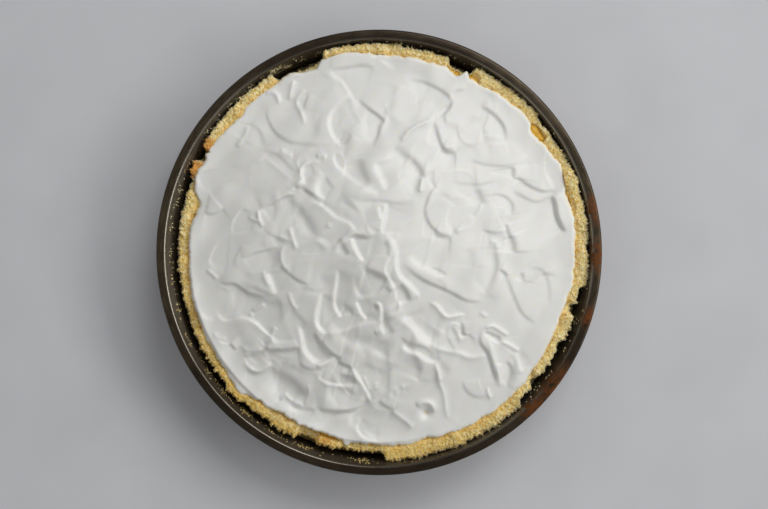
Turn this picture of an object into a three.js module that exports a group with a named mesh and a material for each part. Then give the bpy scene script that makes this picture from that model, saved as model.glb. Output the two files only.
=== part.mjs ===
// A round lemon meringue pie in the dark steel tin that it was baked in.
//
// Millimetres, +Z up. The origin is the middle of the tin's underside, on the surface that
// the tin stands on. Angles round the pie run anticlockwise from +X, in degrees.
// Four pieces lie inside one another: the tin, the crust with its broken edge, the set lemon
// filling, and the meringue, whose top is shaped by the hollows, folds and crests listed below.

import * as THREE from 'three';

// ---------------------------------------------------------------- driving dimensions

const TIN_RADIUS = 130;
const TIN_HEIGHT = 40;
const TIN_SHEET = 0.9;
const RIM_BAND = 5.8;
const RIM_BEAD = 1.6;
const WALL_TAPER = 3.6;
const BASE_CORNER = 3;
const TIN_SEGMENTS = 60;

const GAP = 0.3;
const FACET_ROOM = 0.2;

const CRUST_FLOOR = 5;
const CRUST_TOP = 34;
const CRUST_TILT = 2.2;
const HIGH_SIDE = 25;
const CRUST_LEAST = 2.4;
const CRUST_SECTORS = 144;
const CRUST_SECTOR = 360 / CRUST_SECTORS;
const STEP_SOFTNESS = 1.1;

const FILLING_TOP = 27;

const MERINGUE_RADIUS = 114.3;
const SKIRT_TOP = 35;
const DOME_RISE = 23;
const DOME_RADIUS = 107;
const DOME_TIP = 18;
const MERINGUE_TILT = 1.6;
const EDGE_ROUND = 4;
const EDGE_DROP = 0.8;
const UNDERCUT = 1.2;
const GRID = 56;
const EDGE_STEP = 90 / GRID;

// Stretches where the crust has shrunk, cracked or crumbled away from the tin, or climbs
// higher up it: from and to in degrees, distance from the tin at the top, change of the top.
const CRUST_STRETCHES = [
  [0, 3, 1.4, 0], [8, 24, 0, 1.4], [30, 40, 1.3, 0], [62.5, 69.5, 5.6, -3.5],
  [69.5, 84, 1.5, 0], [88, 106, 0.6, 2], [106, 120.5, 6, -4], [120.5, 149.8, 1.5, 2],
  [149.8, 152.8, 6.8, -3.5], [152.8, 157.5, 1.5, 1], [157.5, 162, 4.7, -1],
  [162, 184, 4.2, 0], [184, 200, 4.3, -0.5], [200, 221, 3.8, 0], [221, 227, 2.2, 1],
  [227, 237, 3.8, 0], [237, 245.5, 3, 1], [245.5, 252, 5.6, -3], [252, 258, 4.7, 0],
  [258, 271.5, 5.3, -1], [313, 319, 3.5, 0], [319, 322, 6, -3], [322, 331, 3.6, 0],
  [331, 334, 4.8, -1], [334, 342.5, 2.9, 0], [342.5, 345, 5.8, -3], [345, 350.5, 3.6, 0],
];

// The meringue's edge, where it bulges over the crust or falls back from it: angle in
// degrees and distance outwards from its usual radius.
const EDGE = [
  [0, 1.1], [9, 1.4], [13, 1.1], [17, 0.3], [21, 2.6], [24, 3.7], [29, 2.6], [34, 1],
  [35, -0.1], [39, -0.1], [41, 2.6], [44, 3.5], [50, 2.6], [60, 0.5], [63.5, 0.8], [67, -1],
  [70.5, 1.4], [85, 1.8], [90, 2.6], [97, 3.7], [102, 5.1], [106, 4.3], [109, 0.2],
  [113, 0.8], [117, 2.6], [125, 2.1], [130, 2], [135, 0.3], [141, 1.1], [146, 2.6],
  [153, 2], [156, 3.3], [160, 1.8], [165, -4.5], [168, -3.6], [173, -2.4], [180, -1.8],
  [190, -0.9], [210, -0.4], [216, 0.1], [224, 2], [229, -0.4], [232, -1.8], [240, -3.3],
  [250, -2.4], [256, -2.1], [262, -1], [280, -0.4], [285, -1.9], [289, 0], [303, 0.6],
  [318, 0.5], [321, -0.9], [340, -1.3], [353, 0.3], [360, 1.1],
];

// Where the crust stands off the meringue and the lemon filling shows between the two:
// middle and half width in degrees, width of the opening.
const FILLING_SHOWS = [
  [15.5, 3.5, 1.4], [37, 2.8, 4], [61, 2, 3], [67.4, 2, 4], [169.5, 2, 1.6], [255, 3, 1.6],
];

// Wide hollows pressed by the back of the spoon: start x, y; end x, y; width; depth; how
// softly the border fades out.
const HOLLOWS = [
  [-76, -48, -38, -80, 34, 2.2, 12], [-38, -80, 22, -88, 34, 2.4, 12],
  [-32, -16, -6, -48, 30, 2.6, 9], [-14, -42, 10, -50, 22, 2, 5],
  [-62, -74, -44, -80, 24, 1.8, 5], [8, -64, 32, -72, 26, 3, 6],
  [-30, -82, -14, -84, 18, 2, 5], [-84, -26, -66, -34, 20, 1.2, 5],
  [-44, 22, -26, 14, 20, 1.6, 5], [12, -17, 17, -27, 9, 2.8, 4],
];

// The grid in which the folds and crests are laid out: the side of one square, counted from
// the pie's middle.
const SQUARE = 0.582;

// Folds, where one layer ends above the next: height of the step; how far the layers swell
// and sink on its high and on its low side; x, y in squares of the start, the middle and the
// end of its curve, with the high side on the left.
const FOLDS = [
  [1.5, 6, 10, -37, 107, -51, 132, -27, 156], [1.2, 6, 9, 1, 59, -38, 83, -41, 105],
  [2.6, 8, 5, -13, 92, -8, 77, 1, 63], [1.3, 2, 8, -53, 52, -63, 65, -53, 77],
  [1.2, 9, 5, -110, 147, -101, 116, -49, 110], [1.1, 6, 6, -41, 170, -66, 138, -53, 116],
  [1, 8, 4, -21, 156, 0, 130, -8, 105], [1.7, 3, 9, -82, 54, -59, 41, -37, 30],
  [1.9, 5, 6, -41, 12, -23, 18, -1, 19], [1.2, 5, 9, 28, 172, 71, 156, 54, 133],
  [1.4, 9, 5, 55, 133, 61, 110, 80, 102], [1.1, 4, 8, 100, 147, 124, 125, 115, 110],
  [1.3, 10, 3, 134, 84, 150, 66, 181, 69], [1.6, 12, 4, 61, 71, 46, 42, 75, 19],
  [2, 6, 7, 19, 99, 42, 83, 34, 57], [1, 8, 3, -57, 51, -10, 54, 37, 53],
  [1.4, 8, 5, 127, 31, 134, 18, 139, 6], [2.2, 5, 6, 172, 58, 177, 38, 186, 19],
  [1.3, 8, 4, -102, -10, -90, -24, -70, -33], [1.9, 10, 6, -164, -29, -133, -38, -102, -40],
  [2.2, 8, 4, -66, -80, -55, -97, -34, -108], [2, 4, 5, -117, -94, -98, -99, -79, -95],
  [1.2, 6, 3, -151, -91, -138, -101, -123, -102], [1.4, 7, 3, -69, -157, -36, -161, -13, -146],
  [0.9, 2, 8, 1, -189, -18, -184, -17, -165], [2.4, 8, 5, 23, -10, 63, -36, 106, -48],
  [1.2, 6, 4, 115, 6, 118, -18, 108, -40], [0.9, 8, 4, 124, -20, 136, -47, 159, -72],
  [1.6, 2.5, 9, 35, -90, 23, -70, 49, -51], [1.4, 3, 4, 21, -86, 43, -95, 61, -104],
  [2.5, 3, 10, 23, -100, 40, -110, 57, -115], [1.3, 3, 4, 105, -78, 112, -104, 118, -133],
  [1.2, 3, 3, 127, -108, 134, -121, 127, -134],
];
const FOLD_HEIGHT = 2.2;
const FOLD_REACH = 2;
const FOLD_SOFTNESS = 1.6;

// Standing crests, left where the spoon was pulled away: height; x, y in squares of the
// start, the middle and the end.
const CRESTS = [
  [2.2, -28, 15, -22, 3, -15, -9], [1.6, 8, 47, 6, 36, 5, 22],
  [1.4, -116, -18, -112, -30, -109, -38], [2, -81, -73, -71, -103, -46, -108],
  [2.4, -53, -32, -62, -60, -52, -83], [2, -42, -18, -44, -45, -38, -65],
  [2.2, -28, -114, -14, -134, -6, -152], [1.6, 21, -26, 32, -33, 40, -46],
  [2.4, 15, 12, 18, -26, 18, -62], [1.8, 1, -52, 3, -66, 2, -80],
  [1.4, 53, -51, 66, -63, 86, -63], [1.4, 21, -163, 30, -173, 35, -185],
];
const CREST_WIDTH = 3.4;
const LINE_STEPS = 6;

const STEEL_DARK = { color: 0x39352f, roughness: 0.45, metalness: 0.8 };
const CRUST_BAKED = { color: 0xd9c285, roughness: 0.9, metalness: 0 };
const LEMON_CURD = { color: 0xdcae45, roughness: 0.4, metalness: 0 };
const MERINGUE_WHITE = { color: 0xf2f1ed, roughness: 0.5, metalness: 0 };

// ---------------------------------------------------------------- small helpers

const DEGREE = Math.PI / 180;

function clamp01(value) {
  return Math.min(Math.max(value, 0), 1);
}

function smooth(from, to, value) {
  const t = clamp01((value - from) / (to - from));
  return t * t * (3 - 2 * t);
}

function mix(a, b, share) {
  return a + (b - a) * share;
}

// The signed turn in degrees from one angle to another, between -180 and 180.
function turn(from, to) {
  return ((to - from + 540) % 360 + 360) % 360 - 180;
}

// Points of an arc in the (radius, height) plane.
function arc(centreR, centreZ, radius, fromDegrees, toDegrees, steps) {
  const points = [];
  for (let i = 0; i <= steps; i += 1) {
    const angle = mix(fromDegrees, toDegrees, i / steps) * DEGREE;
    const r = centreR + radius * Math.cos(angle);
    const z = centreZ + radius * Math.sin(angle);
    points.push(new THREE.Vector2(r, z));
  }
  return points;
}

function geometryFrom(positions, triangles) {
  const geometry = new THREE.BufferGeometry();
  geometry.setAttribute('position', new THREE.Float32BufferAttribute(positions, 3));
  geometry.setIndex(triangles);
  geometry.computeVertexNormals();
  return geometry;
}

function piece(name, geometry, finish) {
  const mesh = new THREE.Mesh(geometry, new THREE.MeshStandardMaterial(finish));
  mesh.name = name;
  return mesh;
}

// A closed body turned round the Z axis from rings of (radius, height), listed from the
// middle of the underside, outwards, up and back to the middle of the top.
function turnedBody(sectors, bottomZ, topZ, ringsAt) {
  const ringCount = ringsAt(0).length;
  const positions = [0, 0, bottomZ];
  for (let s = 0; s < sectors; s += 1) {
    const degrees = 360 * s / sectors;
    const cos = Math.cos(degrees * DEGREE);
    const sin = Math.sin(degrees * DEGREE);
    for (const [r, z] of ringsAt(degrees)) {
      positions.push(r * cos, r * sin, z);
    }
  }
  const last = positions.length / 3;
  positions.push(0, 0, topZ);
  const triangles = [];
  for (let s = 0; s < sectors; s += 1) {
    const here = 1 + s * ringCount;
    const next = 1 + (s + 1) % sectors * ringCount;
    triangles.push(0, next, here);
    for (let k = 0; k < ringCount - 1; k += 1) {
      triangles.push(here + k, next + k, next + k + 1);
      triangles.push(here + k, next + k + 1, here + k + 1);
    }
    triangles.push(here + ringCount - 1, next + ringCount - 1, last);
  }
  return geometryFrom(positions, triangles);
}

// ---------------------------------------------------------------- the tin

// Inside radius of the tin's wall at a height.
function wallRadius(z) {
  return TIN_RADIUS - RIM_BAND - WALL_TAPER * (TIN_HEIGHT - z) / TIN_HEIGHT;
}

// One pressed sheet: a flat base, a slightly flared wall, a flat band round the top and a
// rolled bead at its edge.
function tinGeometry() {
  const slope = 90 - Math.atan2(WALL_TAPER, TIN_HEIGHT) / DEGREE;
  const baseOutside = wallRadius(0) + TIN_SHEET;
  const underBand = TIN_HEIGHT - TIN_SHEET;
  const mouth = TIN_RADIUS - RIM_BAND;
  const innerCorner = BASE_CORNER - TIN_SHEET / 2;
  const outerCorner = arc(baseOutside - BASE_CORNER, BASE_CORNER, BASE_CORNER, -90, slope - 90, 3);
  const beadCentreZ = TIN_HEIGHT - RIM_BEAD - 0.2;
  const bead = arc(TIN_RADIUS - RIM_BEAD, beadCentreZ, RIM_BEAD, -150, 90, 6);
  const innerR = wallRadius(TIN_SHEET + innerCorner) - innerCorner;
  const innerArc = arc(innerR, TIN_SHEET + innerCorner, innerCorner, slope - 90, -90, 3);
  const profile = [
    new THREE.Vector2(0, 0),
    ...outerCorner,
    new THREE.Vector2(wallRadius(underBand - 1.4) + TIN_SHEET, underBand - 1.4),
    new THREE.Vector2(mouth + TIN_SHEET + 1, underBand - 0.2),
    ...bead,
    new THREE.Vector2(mouth + 1, TIN_HEIGHT),
    new THREE.Vector2(mouth + 0.2, TIN_HEIGHT - 0.5),
    new THREE.Vector2(wallRadius(TIN_HEIGHT - 1.6), TIN_HEIGHT - 1.6),
    ...innerArc,
    new THREE.Vector2(0, TIN_SHEET),
  ];
  const geometry = new THREE.LatheGeometry(profile, TIN_SEGMENTS);
  geometry.rotateX(Math.PI / 2);
  return geometry;
}

// ---------------------------------------------------------------- edges round the pie

// How far a stretch applies at an angle: 1 inside it, 0 outside, soft over its ends.
function stretchShare(degrees, from, to) {
  const middle = (from + to) / 2;
  const half = (to - from) / 2;
  const away = Math.abs(turn(middle, degrees));
  return 1 - smooth(half - STEP_SOFTNESS, half + STEP_SOFTNESS, away);
}

function bulgeShare(degrees, middle, half) {
  const away = Math.abs(turn(middle, degrees)) / half;
  return away < 2 ? Math.cos(away * Math.PI / 4) ** 2 : 0;
}

// The small unevenness of a crumbly edge.
function crumble(degrees, phase) {
  const angle = degrees * DEGREE;
  const slow = Math.sin(17 * angle + phase) + 0.8 * Math.sin(29 * angle + 2.3 * phase);
  return 0.3 * (slow + 0.7 * Math.sin(53 * angle + 4.1 * phase));
}

// The crust's usual top, which climbs higher up the tin on one side.
function crustLevel(degrees) {
  return CRUST_TOP + CRUST_TILT * Math.cos((degrees - HIGH_SIDE) * DEGREE);
}

function crustTop(degrees) {
  let top = crustLevel(degrees);
  for (const [from, to, , change] of CRUST_STRETCHES) {
    top += change * stretchShare(degrees, from, to);
  }
  return top + crumble(degrees, 1.7);
}

// How far the crust's top stands off the tin.
function crustSetBack(degrees) {
  let back = 0;
  for (const [from, to, away] of CRUST_STRETCHES) {
    back += away * stretchShare(degrees, from, to);
  }
  return back + 0.5 * Math.abs(crumble(degrees, 0.4));
}

function crustOutside(degrees, z, top) {
  const freed = smooth(0.2, 1, (z - CRUST_FLOOR) / (top - CRUST_FLOOR));
  return wallRadius(z) - GAP - FACET_ROOM - crustSetBack(degrees) * freed;
}

// The edge that the meringue would have if nothing stood in its way, eased from each of its
// places to the next.
function freeEdge(degrees) {
  const angle = (degrees % 360 + 360) % 360;
  const after = EDGE.findIndex(([place]) => place > angle);
  const [fromAngle, fromOut] = EDGE[after - 1];
  const [toAngle, toOut] = EDGE[after];
  return MERINGUE_RADIUS + mix(fromOut, toOut, smooth(fromAngle, toAngle, angle));
}

function crustInside(degrees) {
  let inside = 0;
  for (let k = -2; k <= 2; k += 1) {
    inside = Math.max(inside, freeEdge(degrees + k * CRUST_SECTOR / 2) + GAP);
  }
  for (const [middle, half, width] of FILLING_SHOWS) {
    inside += width * bulgeShare(degrees, middle, half);
  }
  const top = crustTop(degrees);
  return Math.min(inside, crustOutside(degrees, top, top) - CRUST_LEAST);
}

// The crust's inside as its flat faces give it, between two sectors.
function facedInside(degrees) {
  const sector = Math.floor(degrees / CRUST_SECTOR);
  const share = degrees / CRUST_SECTOR - sector;
  const from = crustInside(sector * CRUST_SECTOR);
  const to = crustInside((sector + 1) * CRUST_SECTOR);
  return mix(from, to, share);
}

// The meringue's edge, clear of the crust's faces as far as its own next corner.
function meringueEdge(degrees) {
  let edge = freeEdge(degrees);
  for (let k = -2; k <= 2; k += 1) {
    const room = facedInside(degrees + k * EDGE_STEP / 2) - GAP - FACET_ROOM;
    edge = Math.min(edge, room);
  }
  return edge;
}

// ---------------------------------------------------------------- the crust and the filling

const CRUST_UNDERSIDE = TIN_SHEET + GAP;
const FLOOR_TOP = CRUST_UNDERSIDE + CRUST_FLOOR;
const FOOT_LEAN = 2.5;

function crustRings(degrees) {
  const top = crustTop(degrees);
  const outside = crustOutside(degrees, top, top);
  const inside = crustInside(degrees);
  const middle = (outside + inside) / 2;
  const half = (top + FLOOR_TOP) / 2;
  const corner = wallRadius(BASE_CORNER) - GAP - FACET_ROOM;
  return [
    [corner - BASE_CORNER, CRUST_UNDERSIDE],
    [corner - 0.4, BASE_CORNER + CRUST_UNDERSIDE],
    [crustOutside(degrees, half, top), half],
    [outside, top - 1.6],
    [mix(outside, middle, 0.35), top - 0.3],
    [middle, top + crumble(degrees, 3.1)],
    [mix(inside, middle, 0.5), top - 0.5],
    [inside, top - 2.2],
    [inside - FOOT_LEAN / 2, half],
    [inside - FOOT_LEAN, FLOOR_TOP + 1.5],
    [inside - FOOT_LEAN - 2, FLOOR_TOP],
  ];
}

// The crust's inner face at a height, below its rounded top.
function crustInsideAt(degrees, z) {
  const half = (crustTop(degrees) + FLOOR_TOP) / 2;
  const top = crustTop(degrees) - 2.2;
  const inside = crustInside(degrees);
  if (z > half) {
    return inside - FOOT_LEAN / 2 * (1 - clamp01((z - half) / (top - half)));
  }
  return inside - FOOT_LEAN / 2 - FOOT_LEAN / 2 * (half - z) / (half - FLOOR_TOP - 1.5);
}

function fillingRings(degrees) {
  const clear = GAP + FACET_ROOM;
  const low = FLOOR_TOP + 1.5;
  const half = (crustTop(degrees) + FLOOR_TOP) / 2;
  return [
    [crustInsideAt(degrees, low) - clear - 2, FLOOR_TOP + GAP],
    [crustInsideAt(degrees, low) - clear, low + GAP],
    [crustInsideAt(degrees, half) - clear, half],
    [crustInsideAt(degrees, FILLING_TOP) - clear, FILLING_TOP],
  ];
}

// ---------------------------------------------------------------- the meringue

// The smooth heap before the spoon: a low blunt cone on a flatter skirt.
function dome(r) {
  const out = Math.hypot(r, DOME_TIP) - DOME_TIP;
  const full = Math.hypot(DOME_RADIUS, DOME_TIP) - DOME_TIP;
  const rise = DOME_RISE * (1 - out / full);
  return SKIRT_TOP + Math.log(1 + Math.exp(rise / 1.5)) * 1.5;
}

// Slow waves that bend the hollows a little.
function bent(x, y) {
  return [
    x + 1.1 * Math.sin(0.12 * y + 1.3) + 0.7 * Math.sin(0.21 * y + 0.09 * x),
    y + 1.1 * Math.sin(0.11 * x + 0.4) + 0.7 * Math.sin(0.19 * x - 0.12 * y),
  ];
}

// How far a point lies from a line of points, above zero on its left, and how strong the
// line is there, as it tapers out at both ends.
function beside(x, y, line) {
  const last = line.length - 1;
  let least = Infinity;
  let side = 1;
  let place = 0;
  for (let k = 0; k < last; k += 1) {
    const dx = line[k + 1].x - line[k].x;
    const dy = line[k + 1].y - line[k].y;
    const px = x - line[k].x;
    const py = y - line[k].y;
    const share = clamp01((px * dx + py * dy) / (dx * dx + dy * dy));
    const away = Math.hypot(px - share * dx, py - share * dy);
    if (away < least) {
      least = away;
      side = dx * py - dy * px < 0 ? -1 : 1;
      place = (k + share) / last;
    }
  }
  const strength = (clamp01(4 * place) * clamp01(4 * (1 - place))) ** 0.8;
  return { away: side * least, strength };
}

// The curve through a start, a middle and an end that are given in squares.
function curve(x0, y0, xMiddle, yMiddle, x1, y1) {
  const start = new THREE.Vector2(x0, y0).multiplyScalar(SQUARE);
  const middle = new THREE.Vector2(xMiddle, yMiddle).multiplyScalar(SQUARE);
  const end = new THREE.Vector2(x1, y1).multiplyScalar(SQUARE);
  return new THREE.SplineCurve([start, middle, end]).getPoints(LINE_STEPS);
}

// A wide hollow laid over the surface so far.
function hollowed(z, heap, x, y, hollow) {
  const [x0, y0, x1, y1, width, depth, soft] = hollow;
  const path = [{ x: x0, y: y0 }, { x: x1, y: y1 }];
  const beyond = Math.abs(beside(x, y, path).away) / (width / 2);
  const cover = smooth(0, 1, ((1 - beyond) * width / 2 + soft / 2) / soft);
  const level = heap - depth * (1 - 0.5 * Math.min(beyond, 1.2) ** 2);
  return mix(z, level, cover);
}

// One layer that ends in a step above the next.
function folded(z, x, y, [step, above, below, line]) {
  const { away, strength } = beside(x, y, line);
  const reach = FOLD_REACH * (away > 0 ? above : below);
  const swell = Math.tanh(away / FOLD_SOFTNESS) * Math.exp(-Math.abs(away) / reach);
  return z + 0.5 * FOLD_HEIGHT * step * strength * swell;
}

function crested(z, x, y, [height, line]) {
  const { away, strength } = beside(x, y, line);
  return z + height * strength * Math.exp(-((away / CREST_WIDTH) ** 2));
}

const foldLines = FOLDS.map(([step, above, below, ...ends]) => [
  step, above, below, curve(...ends),
]);
const crestLines = CRESTS.map(([height, ...ends]) => [height, curve(...ends)]);

function meringueHeight(x, y) {
  const high = HIGH_SIDE * DEGREE;
  const towardsHigh = (x * Math.cos(high) + y * Math.sin(high)) / MERINGUE_RADIUS;
  const heap = dome(Math.hypot(x, y)) + MERINGUE_TILT * towardsHigh;
  const [u, v] = bent(x, y);
  let z = heap + 0.5 * Math.sin(0.17 * u + 1) * Math.sin(0.15 * v);
  for (const hollow of HOLLOWS) {
    z = hollowed(z, heap, u, v, hollow);
  }
  for (const fold of foldLines) {
    z = folded(z, x, y, fold);
  }
  for (const crest of crestLines) {
    z = crested(z, x, y, crest);
  }
  return z;
}

// Maps a square of -1..1 onto the unit disc with cells of nearly one size: the larger
// coordinate gives the ring, the other one the place along it.
function onDisc(a, b) {
  if (a === 0 && b === 0) {
    return [0, 0];
  }
  if (Math.abs(a) > Math.abs(b)) {
    return [Math.abs(a), 45 * b / a + (a < 0 ? 180 : 0)];
  }
  return [Math.abs(b), 90 - 45 * a / b + (b < 0 ? 180 : 0)];
}

function meringueGeometry() {
  const positions = [];
  const edge = [];
  for (let j = 0; j <= GRID; j += 1) {
    for (let i = 0; i <= GRID; i += 1) {
      const [share, degrees] = onDisc(2 * i / GRID - 1, 2 * j / GRID - 1);
      const rim = meringueEdge(degrees);
      const r = share * rim;
      const x = r * Math.cos(degrees * DEGREE);
      const y = r * Math.sin(degrees * DEGREE);
      const inwards = clamp01((rim - r) / EDGE_ROUND);
      const round = Math.sqrt(1 - (1 - inwards) ** 2);
      const foot = crustLevel(degrees) - EDGE_DROP;
      positions.push(x, y, mix(foot, meringueHeight(x, y), round));
    }
  }
  const triangles = [];
  const row = GRID + 1;
  for (let j = 0; j < GRID; j += 1) {
    for (let i = 0; i < GRID; i += 1) {
      const corner = j * row + i;
      const leansRight = (i < GRID / 2) === (j < GRID / 2);
      if (leansRight) {
        triangles.push(corner, corner + 1, corner + row + 1);
        triangles.push(corner, corner + row + 1, corner + row);
      } else {
        triangles.push(corner, corner + 1, corner + row);
        triangles.push(corner + 1, corner + row + 1, corner + row);
      }
    }
  }
  // The grid's border, anticlockwise, and the undercut ring below it.
  for (let k = 0; k < GRID; k += 1) {
    edge.push(k);
  }
  for (let k = 0; k < GRID; k += 1) {
    edge.push(k * row + GRID);
  }
  for (let k = GRID; k > 0; k -= 1) {
    edge.push(GRID * row + k);
  }
  for (let k = GRID; k > 0; k -= 1) {
    edge.push(k * row);
  }
  const ring = positions.length / 3;
  const underside = FILLING_TOP + GAP;
  for (const index of edge) {
    const x = positions[3 * index];
    const y = positions[3 * index + 1];
    const shrink = 1 - UNDERCUT / Math.hypot(x, y);
    positions.push(x * shrink, y * shrink, underside);
  }
  const middle = positions.length / 3;
  positions.push(0, 0, underside);
  for (let k = 0; k < edge.length; k += 1) {
    const next = (k + 1) % edge.length;
    triangles.push(edge[k], ring + k, ring + next);
    triangles.push(edge[k], ring + next, edge[next]);
    triangles.push(ring + k, middle, ring + next);
  }
  return geometryFrom(positions, triangles);
}

// ---------------------------------------------------------------- the pie in its tin

const crustGeometry = turnedBody(CRUST_SECTORS, CRUST_UNDERSIDE, FLOOR_TOP, crustRings);
const fillingGeometry = turnedBody(
  CRUST_SECTORS, FLOOR_TOP + GAP, FILLING_TOP, fillingRings);

const pie = new THREE.Group();
pie.add(piece('tin', tinGeometry(), STEEL_DARK));
pie.add(piece('crust', crustGeometry, CRUST_BAKED));
pie.add(piece('lemon_filling', fillingGeometry, LEMON_CURD));
pie.add(piece('meringue', meringueGeometry(), MERINGUE_WHITE));

export default pie;
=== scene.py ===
# A round lemon meringue pie in the dark steel tin that it was baked in.
#
# Sizes are in millimetres and become metres when a mesh is made. +Z is up, and the origin is
# the middle of the tin's underside. Angles round the pie run anticlockwise from +X, in degrees.

import math

import bpy
import numpy as np
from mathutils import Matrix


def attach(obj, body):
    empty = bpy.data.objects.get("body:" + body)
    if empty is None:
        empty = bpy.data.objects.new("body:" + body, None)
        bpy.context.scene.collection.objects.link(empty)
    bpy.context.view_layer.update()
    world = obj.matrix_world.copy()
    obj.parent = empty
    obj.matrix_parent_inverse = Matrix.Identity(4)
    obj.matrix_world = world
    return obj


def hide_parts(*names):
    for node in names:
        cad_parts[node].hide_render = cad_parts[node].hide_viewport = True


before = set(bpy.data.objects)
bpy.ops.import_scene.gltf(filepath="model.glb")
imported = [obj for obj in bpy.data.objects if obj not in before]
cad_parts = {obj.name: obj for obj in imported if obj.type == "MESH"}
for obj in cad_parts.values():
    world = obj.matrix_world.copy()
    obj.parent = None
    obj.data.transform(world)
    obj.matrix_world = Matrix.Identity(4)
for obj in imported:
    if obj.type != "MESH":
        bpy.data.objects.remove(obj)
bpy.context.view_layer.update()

MM = 0.001

# ---- sizes of the tin

TIN_RADIUS = 130.0
TIN_HEIGHT = 40.0
TIN_SHEET = 0.9
# The flat band round the mouth, and the radius of the rolled edge outside it.
RIM_BAND = 5.8
RIM_BEAD = 1.6
# Radii of the bend between wall and band, above and under the sheet.
RIM_BEND = 1.5
UNDER_BEND = 1.1
# How far the band and the rolled edge lie below the tin's full height, and how much the band
# falls from its inner to its outer side.
BAND_BELOW = 0.05
BEAD_BELOW = 0.25
BAND_FALLS = 0.2
# The wall leans out by this much from bottom to top.
WALL_TAPER = 3.6
BASE_CORNER = 3.0
TIN_SECTORS = 288

# ---- sizes of the pie

# Left free between two pieces.
GAP = 0.3
CRUST_FLOOR = 5.0
# The crust's usual top, and how much higher it stands in the direction of HIGH_SIDE degrees.
CRUST_TOP = 34.0
CRUST_TILT = 2.2
HIGH_SIDE = 25.0
# The crust's wall is never thinner than this.
CRUST_LEAST = 1.44
CRUST_SECTORS = 2000
CRUST_ACROSS = 26
# Degrees over which a broken stretch of crust begins and ends.
STEP_SOFTNESS = 0.8
# Usual size of a crumb in its skin.
CRUMB = 0.9

FILLING_TOP = 27.0
# The heap of meringue: a low cone with a blunt tip and a soft foot, on a flatter skirt.
MERINGUE_RADIUS = 114.3
SKIRT_TOP = 35.0
DOME_RISE = 23.0
DOME_RADIUS = 107.0
DOME_TIP = 18.0
DOME_FOOT = 1.5
MERINGUE_TILT = 1.6
# Its border is rounded over, lies a little below the crust's top and is cut in underneath.
EDGE_ROUND = 2.6
EDGE_DROP = 0.8
UNDERCUT = 1.2
# It never comes nearer to the tin's wall than this.
EDGE_CLEAR = 2
MERINGUE_GRID = 312

# Stretches where the crust has shrunk, cracked or crumbled away from the tin, or climbs
# higher up it: from and to in degrees, distance from the tin at the top, change of the top.
CRUST_STRETCHES = [
    (0, 3, 1.4, 0), (8, 24, 0, 1.4), (30, 40, 1.3, 0), (62.5, 69.5, 5.6, -3.5),
    (69.5, 84, 1.5, 0), (88, 106, .6, 2), (106, 120.5, 6, -4), (120.5, 149.8, 1.5, 2),
    (149.8, 152.8, 6.8, -3.5), (152.8, 157.5, 1.5, 1), (157.5, 162, 4.7, -1),
    (162, 184, 4.2, 0), (184, 200, 4.3, -.5), (200, 221, 3.8, 0), (221, 227, 2.2, 1),
    (227, 237, 3.8, 0), (237, 245.5, 3, 1), (245.5, 252, 5.6, -3), (252, 258, 4.7, 0),
    (258, 271.5, 5.3, -1), (313, 319, 3.5, 0), (319, 322, 6, -3), (322, 331, 3.6, 0),
    (331, 334, 4.8, -1), (334, 342.5, 2.9, 0), (342.5, 345, 5.8, -3), (345, 350.5, 3.6, 0),
]

# The meringue's edge, where it bulges over the crust or falls back from it: angle in
# degrees and distance outwards from its usual radius.
EDGE = [
    (0, 1.1), (9, 1.4), (13, 1.1), (17, .3), (21, 2.6), (24, 3.7), (29, 2.6), (34, 1),
    (35, -.1), (39, -.1), (41, 2.6), (44, 3.5), (50, 2.6), (60, .5), (63.5, .8), (67, -1),
    (70.5, 1.4), (85, 1.8), (90, 2.6), (97, 3.7), (102, 5.1), (106, 4.3), (109, .2),
    (113, .8), (117, 2.6), (125, 2.1), (130, 2), (135, .3), (141, 1.1), (146, 2.6), (153, 2),
    (156, 3.3), (160, 1.8), (165, -4.5), (168, -3.6), (173, -2.4), (180, -1.8), (190, -.9),
    (210, -.4), (216, .1), (224, 2), (229, -.4), (232, -1.8), (240, -3.3), (250, -2.4),
    (256, -2.1), (262, -1), (280, -.4), (285, -1.9), (289, 0), (303, .6), (318, .5),
    (321, -.9), (340, -1.3), (353, .3),
]
# Wisps that the spoon drew over the crust: middle and half width in degrees, distance.
EDGE_WISPS = [
    (9.6, 1.6, .6), (26.5, 1.2, .8), (33, 1, .7), (64.2, .9, 2.8), (97, 1.5, .6),
    (115.5, 2, .8), (132, 2, .6), (148.3, .6, 2.4), (150.6, .5, 1.5), (174.4, 2.6, .8),
    (206, 2, .5), (225, 1.5, 1.2), (234, 1.5, .8), (245, 1, 1), (260.3, .8, 2.4),
    (296, 2, .5), (318.5, 2.2, .8), (330, 2, .6), (351, 2, .5),
]

# Where the crust stands off the meringue and the lemon filling shows between the two:
# from and to in degrees, width of the opening.
FILLING_SHOWS = [
    (12, 19, 1.4), (34.3, 39.6, 5), (59.5, 63, 3), (65.6, 69.2, 4.6), (168, 171.5, 1.6),
    (252, 258, 1.8),
]

# ---- relief of the meringue

# Places of the folds, crests and hollows are given in squares from the pie's middle, drawn as
# one sees them from above: a square is this wide in the middle, and wider by the second number
# at the edge, which lies lower.
SQUARE = 0.567
SQUARE_SPREAD = 0.018
EDGE_SQUARES = 180

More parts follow.
